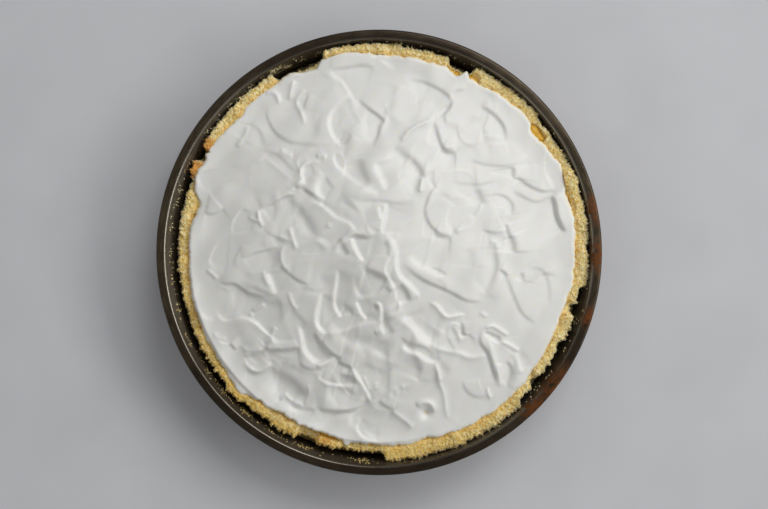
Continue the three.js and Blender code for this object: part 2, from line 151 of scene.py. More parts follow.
# Wide spoon strokes under all the rest, in millimetres: start x, y; end x, y; width; depth of
# the hollow (below zero: a raised tongue); height of its lip; lean (1: the left side is crisp
# and the right one fades out); rise from start to end; sideways bow; flare; softness of its
# edge.
STROKES = [
    (-14, -42, 10, -50, 22, 2, 0, 0, 0, 0, 0, 5),
    (-84, -26, -66, -34, 20, 1.2, 0, 0, 0, 0, 0, 4),
    (-44, 22, -26, 14, 20, 1.6, 0, 0, 0, 0, 0, 5),
    (31, -10, 37, -13, 3.5, .8, 0, 0, 0, 0, 0, 1),
    (49, -42, 49.5, -48, 3, 1.2, 0, 0, 0, 0, 0, .8),
    (64, -47, 70, -49, 4, 1.4, .2, 0, 0, 0, 0, .8),
    (-62, -74, -44, -80, 24, 1.8, 0, 0, 0, 0, 0, 5),
    (-30, -82, -14, -84, 18, 2, 0, 0, 0, 0, 0, 4),
    (-32, -16, -10, -42, 28, 1.9, 0, 0, 0, 0, 0, 9),
]

# Folds, where one layer ends above the next: height of the step, how soft it is and how far
# the layers swell and sink on its high and on its low side, all in millimetres; points of the
# line, with the high side on the left.
FOLDS = [
    (1, .75, 2, 7, [(-72, 67), (-77, 72), (-79, 79), (-75, 86), (-67, 90)]),
    (.7, .75, 4, 2, [(-76, 64), (-67, 57), (-57, 49)]),
    (.7, .75, 3, 3, [(-70, 159), (-74, 150), (-76, 144)]),
    (1, .75, 3, 4, [(-51, 182), (-39, 184), (-29, 185), (-17, 187), (-3, 185)]),
    (.6, .75, 8, 3, [(89, 94), (101, 89), (116, 87), (131, 86), (141, 90), (151, 96)]),
    (.7, .75, 5, 4, [(133, 62), (141, 58), (151, 52), (158, 50), (166, 54), (173, 58)]),
    (.7, .75, 4, 6, [(107, 55), (118, 59), (128, 56), (135, 48), (134, 39), (128, 36)]),
    (.7, .75, 4, 4, [(103, 23), (113, 20), (124, 20), (129, 23)]),
    (2.2, .75, 5, 6, [(172, 58), (176, 48), (177, 38), (181, 28), (186, 19)]),
    (.9, .75, 2, 8, [(1, -189), (-11, -187), (-20, -182), (-23, -175), (-17, -165)]),
    (1.2, .75, 3, 3, [(127, -108), (133, -115), (132, -126), (127, -134)]),
    (.7, .75, 8, 3, [(83, -128), (86, -138), (95, -145), (105, -145), (110, -141)]),
    (1.7, .8, 3, 6, [(-45, 0), (-38, 9), (-30, 16), (-22, 18), (-15, 15), (-7, 16), (-2, 21)]),
    (1.5, .8, 5, 4, [(-42, -109), (-36, -113), (-27, -116)]),
    (.9, .8, 3, 3, [(-1, -149), (7, -155), (15, -158)]),
    (.9, 2, 4, 6, [(-17, -110), (-7, -116), (9, -122)]),
    (1, 1.2, 3, 4, [(6, -34), (13, -40)]),
    (.9, 1.2, 2, 3, [(7, 12), (10, 4), (10, -5)]),
    (1, 1.2, 3, 4, [(-36, -53), (-27, -57), (-27, -64)]),
    (.8, 2, 3, 5, [(-39, 57), (-27, 56), (-13, 57), (-1, 54)]),
    (.9, 1, 4, 3, [(-27, 53), (-7, 52), (6, 52), (16, 49), (26, 49), (35, 53)]),
    (1.2, 2, 2, 6, [(7, -93), (10, -110), (10, -128), (9, -143)]),
    (.9, .8, 5, 9, [(28, 172), (41, 172), (51, 168), (61, 163), (69, 157), (73, 151), (71, 144),
        (66, 139), (61, 135), (54, 132)]),
    (1.2, .9, 9, 5, [(55, 132), (58, 122), (61, 112), (64, 105), (69, 101), (78, 100)]),
    (1.2, .9, 4, 8, [(100, 147), (109, 142), (118, 135), (124, 127), (127, 119), (126, 112)]),
    (.4, .9, 3, 4, [(128, 111), (119, 109), (110, 109)]),
    (1.6, 1.2, 3, 3, [(134, 86), (135, 80), (134, 74)]),
    (1.1, .8, 10, 3, [(137, 77), (145, 70), (156, 63), (167, 60), (177, 64)]),
    (.5, .9, 4, 3, [(73, 71), (86, 69), (101, 68), (113, 70), (122, 75)]),
    (2, 1, 4, 5, [(-116, -98), (-104, -98), (-92, -98), (-79, -95)]),
    (.9, .8, 3, 3, [(-136, -105), (-125, -103), (-116, -98)]),
    (1, .9, 2, 3, [(-107, -87), (-110, -91), (-114, -95)]),
    (.6, 2.5, 3, 5, [(-117, -100), (-99, -105), (-81, -110)]),
    (.8, 1.8, 3, 5, [(-88, -57), (-80, -65), (-72, -74)]),
    (1.1, 1.1, 3, 3, [(-82, -110), (-74, -116), (-66, -118), (-57, -115), (-48, -109)]),
    (1, 1.2, 3, 4, [(-134, -118), (-124, -122), (-114, -119), (-107, -113)]),
    (1, 1.2, 2, 3, [(-101, -145), (-97, -149)]),
    (.9, 1, 4, 3, [(-89, -153), (-79, -157), (-63, -158)]),
    (1.1, 1, 2, 3, [(83, -70), (85, -78), (86, -84)]),
    (1, 1.2, 2, 3, [(73, -74), (78, -82), (81, -92)]),
    (1.4, 3, 3, 5, [(49, -105), (61, -111), (73, -120)]),
    (.7, 3, 3, 5, [(45, -72), (54, -76), (63, -86)]),
    (.8, 2.5, 3, 4, [(140, -98), (148, -104), (151, -114)]),
    (.8, .8, 9, 5, [(-110, 147), (-113, 140), (-112, 134), (-108, 125), (-101, 117), (-91, 111),
        (-79, 109), (-64, 108), (-46, 109)]),
    (.8, 1.2, 3, 3, [(-127, 129), (-130, 120), (-136, 111)]),
    (.7, 1.2, 3, 4, [(-129, 129), (-121, 124), (-117, 116), (-115, 106)]),
    (.8, 1.2, 3, 4, [(-117, 102), (-104, 100), (-95, 92), (-85, 80)]),
    (1.6, 1.4, 2, 2, [(-85, 68), (-80, 64)]),
    (1, 2.5, 3, 5, [(-139, -40), (-117, -48), (-89, -54)]),
    (.8, 3, 3, 4, [(91, 6), (95, -4), (95, -16)]),
    (.9, 3, 3, 5, [(18, 170), (16, 157), (12, 144), (7, 134)]),
    (1, 2.5, 3, 4, [(16, 107), (24, 101), (32, 96)]),
    (1, 2.5, 3, 4, [(33, 94), (41, 86), (45, 76)]),
    (1.8, .8, 3, 3, [(5, -84), (3, -76), (3, -60), (2, -52), (-3, -50), (-6, -53)]),
    (1.6, .8, 3, 4, [(-36, -67), (-43, -59), (-45, -51), (-44, -40), (-42, -28), (-41, -16)]),
    (1.5, .8, 3, 3, [(-11, -67), (-17, -63), (-20, -56), (-23, -49)]),
    (2.2, .9, 3, 3, [(43, -47), (38, -40), (32, -33), (24, -27), (19, -20), (18, -10), (18, 0),
        (16, 8), (12, 14), (5, 17)]),
    (1.2, .8, 2.5, 2.5, [(18, -51), (17, -39), (14, -32), (10, -25), (6, -19), (8, -12), (12, -4),
        (15, 5)]),
    (1, 1.4, 3, 5, [(14, -28), (9, -34), (1, -40), (-9, -44), (-19, -45), (-23, -40), (-25, -32),
        (-26, -22)]),
    (1.8, .9, 3, 3, [(-15, -10), (-21, -1), (-25, 7), (-27, 16)]),
    (1.2, .8, 2, 3, [(3, 33), (1, 40), (-1, 46)]),
    (1.8, .9, 3, 3, [(2, 19), (5, 30), (7, 40), (9, 49)]),
    (1.2, .9, 4, 3, [(-21, 19), (-29, 30), (-36, 33), (-43, 35), (-50, 42), (-59, 49),
        (-70, 54)]),
    (1.4, 1, 8, 4, [(1, -69), (-14, -70), (-24, -74), (-34, -78), (-45, -80), (-55, -83)]),
    (2.4, 1.2, 3, 3, [(63, -110), (55, -110), (46, -107), (39, -101), (31, -100), (22, -93)]),
    (2.6, 1, 5, 5, [(-52, -82), (-60, -77), (-63, -70), (-62, -60), (-59, -50), (-56, -40)]),
    (2.4, 1.2, 5, 4, [(-46, -107), (-54, -110), (-61, -111), (-68, -107), (-74, -100), (-76, -94),
        (-77, -86), (-79, -78), (-82, -72)]),
    (1.2, .8, 6, 4, [(-81, -88), (-96, -90), (-104, -89), (-110, -84), (-116, -78), (-122, -72),
        (-129, -67), (-136, -65), (-142, -65), (-149, -68), (-156, -68), (-161, -63),
        (-164, -56)]),
    (.9, .8, 3, 3, [(127, 29), (130, 21), (133, 13)]),
    (.8, 2, 3, 4, [(107, 20), (118, 18), (127, 17)]),
    (.8, .8, 8, 4, [(124, -19), (129, -26), (133, -38), (138, -50), (142, -60), (151, -68),
        (159, -72)]),
    (1.2, .8, 2, 2, [(121, -17), (126, -20), (129, -24)]),
    (1.1, 1, 6, 10, [(-37, 107), (-43, 112), (-48, 120), (-51, 132), (-46, 143), (-35, 153),
        (-27, 156)]),
    (2, 2.2, 3, 6, [(-53, 50), (-61, 56), (-63, 65), (-59, 73), (-53, 78)]),
    (.8, .9, 3, 5, [(-80, 68), (-72, 62), (-62, 56), (-51, 49)]),
    (.8, 2, 3, 5, [(-93, 54), (-83, 49), (-73, 40)]),
    (2.2, .9, 6, 4, [(-63, -157), (-54, -159), (-41, -160), (-29, -159), (-21, -157), (-16, -151),
        (-13, -144)]),
    (.9, .7, 3, 4, [(21, -84), (25, -88), (30, -92), (38, -93), (46, -95), (52, -101),
        (57, -102)]),
    (1.8, .7, 3, 3, [(-8, -152), (-9, -146), (-13, -138), (-17, -131), (-22, -124), (-27, -115)]),
    (1.4, .8, 5, 3, [(-22, -132), (-34, -134), (-46, -133), (-55, -130), (-63, -124)]),
    (1.8, 2.2, 3, 4, [(5, -66), (10, -74), (15, -82)]),
    (2.4, 1.8, 3, 6, [(-15, -16), (-3, -21), (10, -27)]),
    (2.4, 1.8, 2, 5, [(21, -31), (28, -39), (32, -49)]),
    (1.6, 1.6, 2, 4, [(-40, 15), (-35, 6), (-30, -3)]),
    (1.6, 3, 3, 6, [(61, -25), (47, -18), (35, -10), (29, -2)]),
    (2.6, 3.5, 4, 7, [(-103, -120), (-89, -127), (-79, -136), (-73, -146)]),
    (2.2, 2, 3, 4, [(116, 9), (118, -3), (119, -16), (115, -30), (106, -45)]),
    (2.2, 2, 3, 4, [(132, 18), (136, 9), (136, -1)]),
    (1.1, .8, 10, 4, [(61, 71), (53, 62), (48, 52), (46, 40), (49, 30), (57, 21), (67, 16),
        (75, 19)]),
    (2, 1.6, 2, 3, [(55, 19), (63, 16), (73, 16)]),
    (.9, 1.5, 5, 4, [(99, 64), (103, 57), (105, 49)]),
    (1.3, .9, 5, 5, [(23, -10), (33, -20), (46, -29), (61, -35), (76, -42), (86, -48), (96, -50),
        (106, -49)]),
    (.5, .8, 4, 3, [(149, -18), (158, -15), (165, -19), (169, -28), (171, -40), (170, -53)]),
    (1.2, 1.2, 2, 2, [(142, -20), (145, -24), (144, -29)]),
    (1.2, .9, 2, 2, [(-150, -91), (-147, -94), (-144, -98)]),
    (4.6, 3.6, 4, 6, [(55, -93), (42, -85), (32, -75), (24, -62)]),
    (1.3, 1.6, 3, 5, [(-41, -122), (-31, -125), (-22, -127)]),
    (1, 1.5, 5, 6, [(19, 99), (29, 97), (37, 91), (43, 82), (44, 74), (40, 66), (34, 57)]),
    (.8, .75, 6, 9, [(1, 59), (-7, 62), (-22, 70), (-38, 83), (-44, 89), (-46, 97), (-41, 105)]),
    (.6, 2.4, 6, 6, [(-41, 170), (-54, 160), (-63, 148), (-67, 134), (-63, 122), (-53, 116)]),
    (2.6, 3.2, 5, 6, [(-19, 96), (-16, 82), (-8, 67)]),
    (1.6, 2.2, 2, 4, [(9, 62), (1, 75), (-5, 90)]),
    (1.3, .9, 6, 4, [(-22, 156), (-15, 148), (-7, 142), (1, 136), (5, 132), (1, 128), (-1, 115),
        (-8, 105)]),
    (.8, .8, 2, 2, [(-27, 119), (-31, 112), (-37, 108), (-43, 110)]),
    (.5, .8, 3, 6, [(-117, 24), (-109, 18), (-99, 12), (-93, 9)]),
    (1, .7, 8, 6, [(-161, -30), (-153, -32), (-146, -31), (-139, -36), (-131, -42), (-123, -43),
        (-115, -45)]),
    (.9, .8, 8, 4, [(-100, -12), (-96, -17), (-89, -23), (-81, -29), (-70, -33)]),
    (2, 1.8, 2, 2.5, [(-104, -43), (-108, -32), (-112, -20)]),
    (1, .7, 4, 3, [(-138, -7), (-131, -3), (-123, 0), (-113, 2), (-101, 6)]),
    (.9, .75, 8, 3, [(-175, 39), (-169, 38), (-162, 40), (-156, 45)]),
    (2, 3.5, 5, 6, [(-83, 46), (-73, 36), (-65, 24), (-61, 10)]),
    (1.6, 2, 2, 3, [(62, 106), (69, 101), (78, 101)]),
    (1.6, .8, 4, 5, [(-120, 43), (-111, 48), (-101, 53), (-93, 57), (-84, 58)]),
    (1.8, 4.5, 5, 6, [(-25, -88), (-13, -86), (-1, -87), (9, -93), (17, -100)]),
    (2.2, 3.5, 3, 4, [(31, -98), (38, -107), (42, -118), (39, -130)]),
    (2, 3, 3, 5, [(-51, -132), (-37, -136), (-25, -142), (-19, -150)]),
    (2, .9, 6, 4, [(-66, -80), (-61, -89), (-53, -98), (-44, -105), (-36, -107)]),
    (.7, 2, 4, 3, [(4, -101), (-7, -101), (-17, -103), (-27, -105), (-36, -107)]),
    (1.5, .8, 3, 4, [(107, -75), (103, -80), (101, -86), (103, -93), (108, -98), (111, -105),
        (114, -116), (118, -132)]),
    (2, 8, 8, 8, [(-44, -100), (-19, -104), (6, -108), (36, -110)]),
    (1.6, 7, 6, 6, [(-50, -76), (-25, -84), (0, -90), (22, -96)]),
]

# Standing crests, left where the spoon was pulled away: height and how far the crest falls
# off to the left and to the right of the line, in millimetres; points of the line.
CRESTS = [
    (1.2, 1.5, 1.5, [(-85, 172), (-88, 162), (-90, 152)]),
    (1, 1.3, 1.3, [(-74, 164), (-80, 157), (-84, 150), (-79, 142), (-76, 134), (-75, 127)]),
    (.7, .96, .96, [(-51, 30), (-50, 24)]),
    (.8, 1.2, 1.2, [(75, 19), (85, 23), (94, 32), (102, 43), (103, 50)]),
    (.8, 1.1, 1.1, [(-52, -82), (-39, -79), (-27, -75), (-17, -71)]),
    (.5, 1.2, 1.2, [(-166, -80), (-161, -86), (-153, -87)]),
    (1.2, 1.2, 1.2, [(49, -91), (58, -97), (71, -100), (81, -101), (89, -106), (101, -105),
        (110, -103)]),
    (.9, 1.2, 1.2, [(136, -100), (138, -110), (141, -122)]),
    (1, 1.5, 1.5, [(121, -110), (119, -123), (121, -134)]),
    (1, 1.2, 1.2, [(61, -114), (58, -126), (64, -138), (66, -148), (67, -160), (70, -168)]),
    (.9, 1.2, 1.2, [(3, -77), (0, -79), (-4, -81)]),
    (.8, .9, .9, [(-17, -124), (-13, -132), (-10, -141)]),
    (1, 1.3, 1.3, [(-63, -116), (-53, -110), (-44, -105)]),
    (1.2, 1.4, 1.2, [(56, -112), (59, -120), (62, -130)]),
    (.7, 1.2, 1.2, [(22, -132), (26, -138)]),
    (.5, 1.2, 1.2, [(26, -136), (33, -133), (38, -127)]),
    (1.6, 1.3, 1.5, [(37, -154), (43, -150), (50, -150), (55, -155), (55, -161)]),
    (.6, 1.2, 1.2, [(-4, -130), (-3, -139)]),
    (.5, 1.2, 1.2, [(10, -148), (11, -140), (16, -136), (18, -144)]),
    (1, .9, 1, [(5, -66), (12, -64), (18, -61), (21, -55), (19, -48)]),
    (.8, .9, .9, [(-104, -75), (-107, -81), (-109, -86)]),
    (.6, 1.2, 1.4, [(-141, -92), (-134, -98), (-126, -99), (-116, -97), (-107, -94)]),
    (1.1, .9, 1.1, [(-135, -109), (-131, -115), (-125, -119), (-119, -119), (-113, -115),
        (-108, -110)]),
    (1, .9, 1.1, [(-96, -141), (-91, -147), (-84, -151), (-76, -153)]),
    (.6, 1, 1.2, [(-76, -153), (-72, -148), (-70, -140), (-72, -132)]),
    (.9, .8, .9, [(-91, -40), (-89, -48), (-86, -54), (-82, -58)]),
    (.9, .8, .8, [(-128, -59), (-122, -56), (-115, -52)]),
    (.8, 1.2, 1.2, [(-130, -60), (-128, -66)]),
    (1.5, 1, 1.6, [(50, -50), (57, -53), (62, -60), (68, -66), (77, -64), (87, -62)]),
    (1.2, .9, 1.1, [(106, -77), (113, -73), (120, -77), (130, -84)]),
    (1.2, .9, 1.1, [(122, -89), (131, -93), (140, -99)]),
    (.9, .8, .9, [(107, -86), (112, -94), (114, -106), (119, -120), (121, -130)]),
    (1, .9, 1, [(108, -135), (109, -142), (112, -146)]),
    (.7, .8, .8, [(101, -60), (109, -65)]),
    (1.1, .9, .9, [(-143, 105), (-138, 111), (-133, 119), (-131, 128)]),
    (1, .9, .9, [(-114, 159), (-107, 161), (-101, 156), (-100, 148)]),
    (.8, 1, 1.2, [(-100, 103), (-94, 99), (-87, 97)]),
    (.9, .8, .8, [(-63, 96), (-58, 98), (-53, 95)]),
    (1.1, .9, 1, [(-75, 71), (-79, 77), (-79, 84), (-74, 90), (-66, 92), (-59, 90)]),
    (.9, .8, 1, [(-88, 61), (-85, 68), (-78, 72)]),
    (1.2, .9, 1.2, [(-91, 26), (-88, 16), (-83, 2)]),
    (.7, .9, .9, [(-102, 17), (-95, 14), (-88, 11)]),
    (.7, .8, .8, [(-131, 36), (-126, 33), (-121, 31)]),
    (.8, .8, .8, [(-173, -17), (-168, -21), (-162, -27)]),
    (.8, .9, .9, [(76, 20), (84, 28), (95, 37)]),
    (.7, 1.2, 1.2, [(111, 10), (117, 11), (119, 4)]),
    (1.2, 1.2, 1.2, [(43, 76), (42, 68), (41, 60)]),
    (1.3, 1.4, 2, [(13, -159), (20, -164), (27, -169), (35, -176)]),
    (.5, 1.4, 1.6, [(-116, 96), (-105, 87), (-95, 79), (-87, 71)]),
    (1.6, .8, 1, [(55, 134), (45, 130), (35, 125), (27, 119), (21, 111)]),
    (1.2, .8, .8, [(-122, 43), (-121, 33), (-117, 25)]),
    (.7, .8, 1, [(-117, -18), (-115, -26), (-111, -34)]),
    (.7, .8, .8, [(-95, 8), (-99, 0), (-98, -10), (-93, -18)]),
]

# Hollows that the spoon's tip pressed and lumps that it left: place; half length and half
# width; heading in degrees; depth in millimetres, below zero for a lump.
DENTS = [(-3, -56, 3, 3, 0, 1), (47, -161, 5, 5, 0, 3)]


def border_line(start, end, radius, steps):
    """Places along the border: from and to in degrees, and the distance from the middle."""
    angles = [math.radians(start + (end - start) * k / steps) for k in range(steps + 1)]
    return [(radius * math.cos(angle), radius * math.sin(angle)) for angle in angles]


# Along the lower left border the foam falls off and then spreads up against the crust.
FOLDS.append((1.6, 7, 8, 6, border_line(190, 290, 162, 8)))
CRESTS.append((1.2, 4, .8, border_line(165, 290, 190, 12)))

# Soft marks of the first spreading: how many, how far out, and their usual heading; from and
# to in millimetres of their length, width and depth; where they begin to be shallower near the
# border, and where they are gone.
OLD_STROKES = 60
OLD_SEED = 11
OLD_SPREAD = 104
OLD_HEADING = 205
OLD_HEADING_SPREAD = 60
OLD_LENGTHS = (10, 26)
OLD_WIDTHS = (14, 26)
OLD_DEPTHS = (.2, .8)
OLD_BORDER = (98, 112)
# A fold's swell fades out over this many times its reach; all steps are raised alike.
FOLD_REACH = 2.0
FOLD_HEIGHT = 1.5
# Over this width, in millimetres, the two sides of a line's corner run into each other.
MEETING = 1.5
# Share of a line's length over which its ends taper, and how much more for each millimetre
# away from it.
LINE_END = 0.1
LINE_END_SPREAD = 0.012
LINE_ROUNDINGS = 3
CREST_TIP = 0.5
# How many widths away a stroke is too faint to matter, and how much further in millimetres.
STROKE_FADES = 0.75
STROKE_MARGIN = 6
# How many reaches away a fold, a crest and a hollow are too faint to matter.
FOLD_FADES = 3.5
CREST_FADES = 5
DENT_FADES = 2.5


def clamp(value):
    return np.clip(value, 0, 1)


def smooth(low, high, value):
    t = clamp((value - low) / (high - low))
    return t * t * (3 - 2 * t)


def dome(r):
    """The smooth heap before the spoon: a low blunt cone on a flatter skirt."""
    out = np.hypot(r, DOME_TIP) - DOME_TIP
    full = math.hypot(DOME_RADIUS, DOME_TIP) - DOME_TIP
    return SKIRT_TOP + DOME_FOOT * np.log1p(np.exp(DOME_RISE * (1 - out / full) / DOME_FOOT))


def from_squares(places):
    """Places in squares as millimetres."""
    places = np.array(places, float)
    out = np.hypot(places[..., :1], places[..., 1:]) / EDGE_SQUARES
    return places * (SQUARE + SQUARE_SPREAD * out ** 2)


def bent(x, y):
    """Slow waves that bend every stroke a little, as a hand does."""
    u = x + 1.1 * np.sin(.12 * y + 1.3) + .7 * np.sin(.21 * y + .09 * x)
    v = y + 1.1 * np.sin(.11 * x + .4) + .7 * np.sin(.19 * x - .12 * y)
    return u + .3 * np.sin(.47 * v - .3 * u), v + .3 * np.sin(.43 * u + .33 * v)


def spooned(z, heap, u, v, stroke, turn_of_hand):
    """One spoon stroke laid over the surface so far. It starts softly, covers what is under
    it and ends at a crisp border; to one side of it, away from its lean, it fades out."""
    x0, y0, x1, y1, width, depth, lip, lean, rise, bow, flare, soft = stroke
    length = math.hypot(x1 - x0, y1 - y0)
    ux, uy = (x1 - x0) / length, (y1 - y0) / length
    forward = (u - x0) * ux + (v - y0) * uy
    share = clamp(forward / length)
    past = forward - share * length
    left = (v - y0) * ux - (u - x0) * uy - 4 * bow * share * (1 - share)
    half = width / 2 * (1 + flare * (2 * share - 1))
    away = np.hypot(past, left) / half
    aside = np.clip(left / half, -1, 1)
    entry = smooth(-width * .35, .5 * length, forward)
    faded = clamp(abs(lean) * (.5 - .9 * aside * np.sign(lean)))
    faded = 1 - (1 - faded) * entry
    border = soft + 1.1 * half * faded
    cover = smooth(0, 1, ((1 - away) * half + .5 * soft * (1 - faded)) / border)
    tilt = 1 - abs(lean) * (.5 - .5 * aside * np.sign(lean))
    level = heap + rise * (share - .5) - depth * tilt * (1 - .5 * np.minimum(away, 1.2) ** 2)
    uneven = 1 + .3 * np.sin(.31 * u + .7 * turn_of_hand) * np.sin(.27 * v + 1.1 * turn_of_hand)
    rim = lip * (1 - faded) * uneven * np.exp(-((1 - away) * half / 1.3) ** 2)
    return z + (level - z) * cover + rim


def rounded_line(points):
    """A line through the points, in millimetres, with its corners rounded."""
    line = from_squares(points)
    for _ in range(LINE_ROUNDINGS):
        a = .75 * line[:-1] + .25 * line[1:]
        b = .25 * line[:-1] + .75 * line[1:]
        middle = np.stack([a, b], 1).reshape(-1, 2)[1:-1]
        line = np.concatenate([line[:1], middle, line[-1:]])
    return line


def beside(u, v, line):
    """For each point: its distance from the line, above zero on the left, and how strong the
    line is there, as it tapers out at both ends."""
    steps = np.hypot(*(line[1:] - line[:-1]).T)
    before = np.concatenate([[0], np.cumsum(steps)])
    start, step = line[:-1, :, None], (line[1:] - line[:-1])[:, :, None]
    along = ((u - start[:, 0]) * step[:, 0] + (v - start[:, 1]) * step[:, 1]) / steps[:, None] ** 2
    along = clamp(along)
    away = np.hypot(u - start[:, 0] - along * step[:, 0], v - start[:, 1] - along * step[:, 1])
    nearest = away.argmin(0)
    here = np.arange(len(u))
    turned = step[nearest, 0, 0] * (v - start[nearest, 1, 0]) \
        - step[nearest, 1, 0] * (u - start[nearest, 0, 0])
    share = (before[:-1, None] + along * steps[:, None]) / before[-1]
    taper = clamp(4 * share) ** .8 * clamp(4 * (1 - share)) ** .8
    least = away[nearest, here]
    nearness = np.exp((least - away) / MEETING)
    mine = share[nearest, here]
    fan = np.minimum(LINE_END + LINE_END_SPREAD * least, .5)
    ends = smooth(0, fan, mine) * smooth(0, fan, 1 - mine)
    return np.sign(turned) * least, ends * (nearness * taper).sum(0) / nearness.sum(0)


def folded(z, u, v, fold):
    """One layer that ends in a crisp step above the next."""
    step, soft, above, below, points = fold
    away, strength = beside(u, v, rounded_line(points))
    reach = FOLD_REACH * np.where(away > 0, above, below)
    swell = np.tanh(away / soft) * np.exp(-np.abs(away) / reach)
    return z + .5 * FOLD_HEIGHT * step * strength * swell


def crested(z, u, v, crest):
    """A standing edge along a curved line, with a slope on each side."""
    height, left, right, points = crest
    away, strength = beside(u, v, rounded_line(points))
    reach = np.where(away > 0, left, right)
    fall = np.hypot(away, CREST_TIP) - CREST_TIP
    return z + height * strength * np.exp(-fall / (reach * (.5 + .5 * strength)))


def dented(z, u, v, dent):
    """A soft hollow, or a soft lump where its depth is below zero."""
    across, up, long, wide, heading, depth = dent
    x, y = from_squares((across, up))
    turned = math.radians(heading)
    forward = ((u - x) * math.cos(turned) + (v - y) * math.sin(turned)) / (SQUARE * long)
    aside = ((v - y) * math.cos(turned) - (u - x) * math.sin(turned)) / (SQUARE * wide)
    return z - depth * np.exp(-forward ** 2 - aside ** 2)


def old_strokes():
    """Wide, soft marks of the first spreading, which later strokes have mostly covered."""
    draw = np.random.default_rng(OLD_SEED)
    for _ in range(OLD_STROKES):
        r = OLD_SPREAD * math.sqrt(draw.random())
        place = 2 * math.pi * draw.random()
        heading = math.radians(OLD_HEADING + OLD_HEADING_SPREAD * draw.standard_normal())
        length, width = draw.uniform(*OLD_LENGTHS), draw.uniform(*OLD_WIDTHS)
        x, y = r * math.cos(place), r * math.sin(place)
        dx, dy = length / 2 * math.cos(heading), length / 2 * math.sin(heading)
        near_border = (OLD_BORDER[1] - r) / (OLD_BORDER[1] - OLD_BORDER[0])
        depth = draw.uniform(*OLD_DEPTHS) * min(1, near_border)
        yield (x - dx, y - dy, x + dx, y + dy, width, depth, .1 * depth, draw.uniform(-1, 1),
               draw.uniform(-.5, 1), draw.uniform(-3, 3), draw.uniform(-.2, .2),
               draw.uniform(1.2, 2.6))


def near(u, v, x0, y0, x1, y1, reach):
    """Which points lie in the box between two corners or within reach of it."""
    return np.nonzero((u > min(x0, x1) - reach) & (u < max(x0, x1) + reach)
                      & (v > min(y0, y1) - reach) & (v < max(y0, y1) + reach))[0]


def meringue_height(x, y):
    """Height of the meringue's top at points (x, y), flat arrays in millimetres."""
    high = math.radians(HIGH_SIDE)
    tilt = MERINGUE_TILT / MERINGUE_RADIUS * (x * math.cos(high) + y * math.sin(high))
    heap = dome(np.hypot(x, y)) + tilt
    u, v = bent(x, y)
    z = heap + .5 * np.sin(.17 * u + 1) * np.sin(.15 * v) + .3 * np.sin(.31 * u - .2 * v)
    for hand, stroke in enumerate([*old_strokes(), *STROKES]):
        at = near(u, v, *stroke[:4], stroke[4] * STROKE_FADES + STROKE_MARGIN)
        z[at] = spooned(z[at], heap[at], u[at], v[at], stroke, hand)
    for fold in FOLDS:
        points = from_squares(fold[-1])
        at = near(x, y, *points.min(0), *points.max(0), FOLD_FADES * FOLD_REACH * max(fold[2:4]))
        z[at] = folded(z[at], x[at], y[at], fold)
    for crest in CRESTS:
        points = from_squares(crest[-1])
        at = near(x, y, *points.min(0), *points.max(0), CREST_FADES * max(crest[1:3]))
        z[at] = crested(z[at], x[at], y[at], crest)
    for dent in DENTS:
        middle = from_squares(dent[:2])
        at = near(x, y, *middle, *middle, DENT_FADES * SQUARE * max(dent[2:4]))
        z[at] = dented(z[at], x[at], y[at], dent)
    return z


# ---- materials

# The inner bend of the rim, which is worn bright and painted brighter still to strengthen
# its highlight, and the widths of its core and its border.
WORN_SHEEN_RADIUS = TIN_RADIUS - RIM_BAND + .5
WORN_SHEEN_CORE = 0.3
WORN_SHEEN_BORDER = 0.9
# Stains on the rim: x, y and size.
RUST_SPOTS = [(104, -77, 17), (90, -90, 12), (123, -38, 9), (128, -2, 13), (126, 25, 12)]
# Patches of painted shade, where the steel is made darkest so that the rim catches less
# light there: x, y and size.
RIM_SHADE_SPOTS = [(10, -128, 100), (20, 128, 75), (-52, 112, 45), (-95, -88, 62), (112, -68, 60)]
# Lumps of the crust that have browned more: x, y, size and how much.
TOASTED_SPOTS = [(-101.5, 62.5, 7, .9), (-108, 48.5, 8, .9), (-36, -110, 6, .35),
                 (-31, -112, 5, .25)]
# The direction of the pastry's painted shade, towards the side turned away from the lamps,
# and the radii between which it begins.
SHADED_SIDE = (-.5, -.87, 0)
SHADE_FROM = 113.0
SHADE_TO = 117.0


def linear(hex_colour):
    """An sRGB hex colour as linear red, green, blue and alpha."""
    channels = [int(hex_colour[i:i + 2], 16) / 255 for i in (1, 3, 5)]
    return tuple(c / 12.92 if c <= .04045 else ((c + .055) / 1.055) ** 2.4
                 for c in channels) + (1.0,)


def fill(tree, node, values):
    """Gives a node's sockets their values: a constant, or a link from a socket or a node."""
    for socket, value in values.items():
        if isinstance(value, bpy.types.Node):
            value = next(given for given in value.outputs if given.enabled)
        if isinstance(value, bpy.types.NodeSocket):
            tree.links.new(value, node.inputs[socket])
        else:
            node.inputs[socket].default_value = value


def add(tree, kind, values=None, **settings):
    """Adds a node with its settings and fills its sockets. A colour mix has its two colours in
    sockets 6 and 7; a map range goes from 1 and 2 to 3 and 4, or else to 0 and 1."""
    made = tree.nodes.new(kind)
    for name, setting in settings.items():
        setattr(made, name, setting)
    fill(tree, made, values or {})
    return made


def ramp(tree, value, stops):
    """A colour ramp from stops of (place, hex colour)."""
    made = add(tree, "ShaderNodeValToRGB", {0: value})
    points = made.color_ramp.elements
    while len(points) < len(stops):
        points.new(.5)
    for point, (place, colour) in zip(points, stops):
        point.position = place
        point.color = linear(colour)
    return made


def new_material(name):
    """An empty material with its tree, its shader and the Object coordinates."""
    made = bpy.data.materials.new(name)
    made.use_nodes = True
    tree = made.node_tree
    tree.nodes.clear()
    shader = tree.nodes.new("ShaderNodeBsdfPrincipled")
    output = tree.nodes.new("ShaderNodeOutputMaterial")
    tree.links.new(shader.outputs["BSDF"], output.inputs["Surface"])
    place = tree.nodes.new("ShaderNodeTexCoord").outputs["Object"]
    return made, tree, shader, place


def per_mm(size):
    """Texture scale, per metre, of a pattern whose features are this many millimetres wide."""
    return 1 / (size * MM)


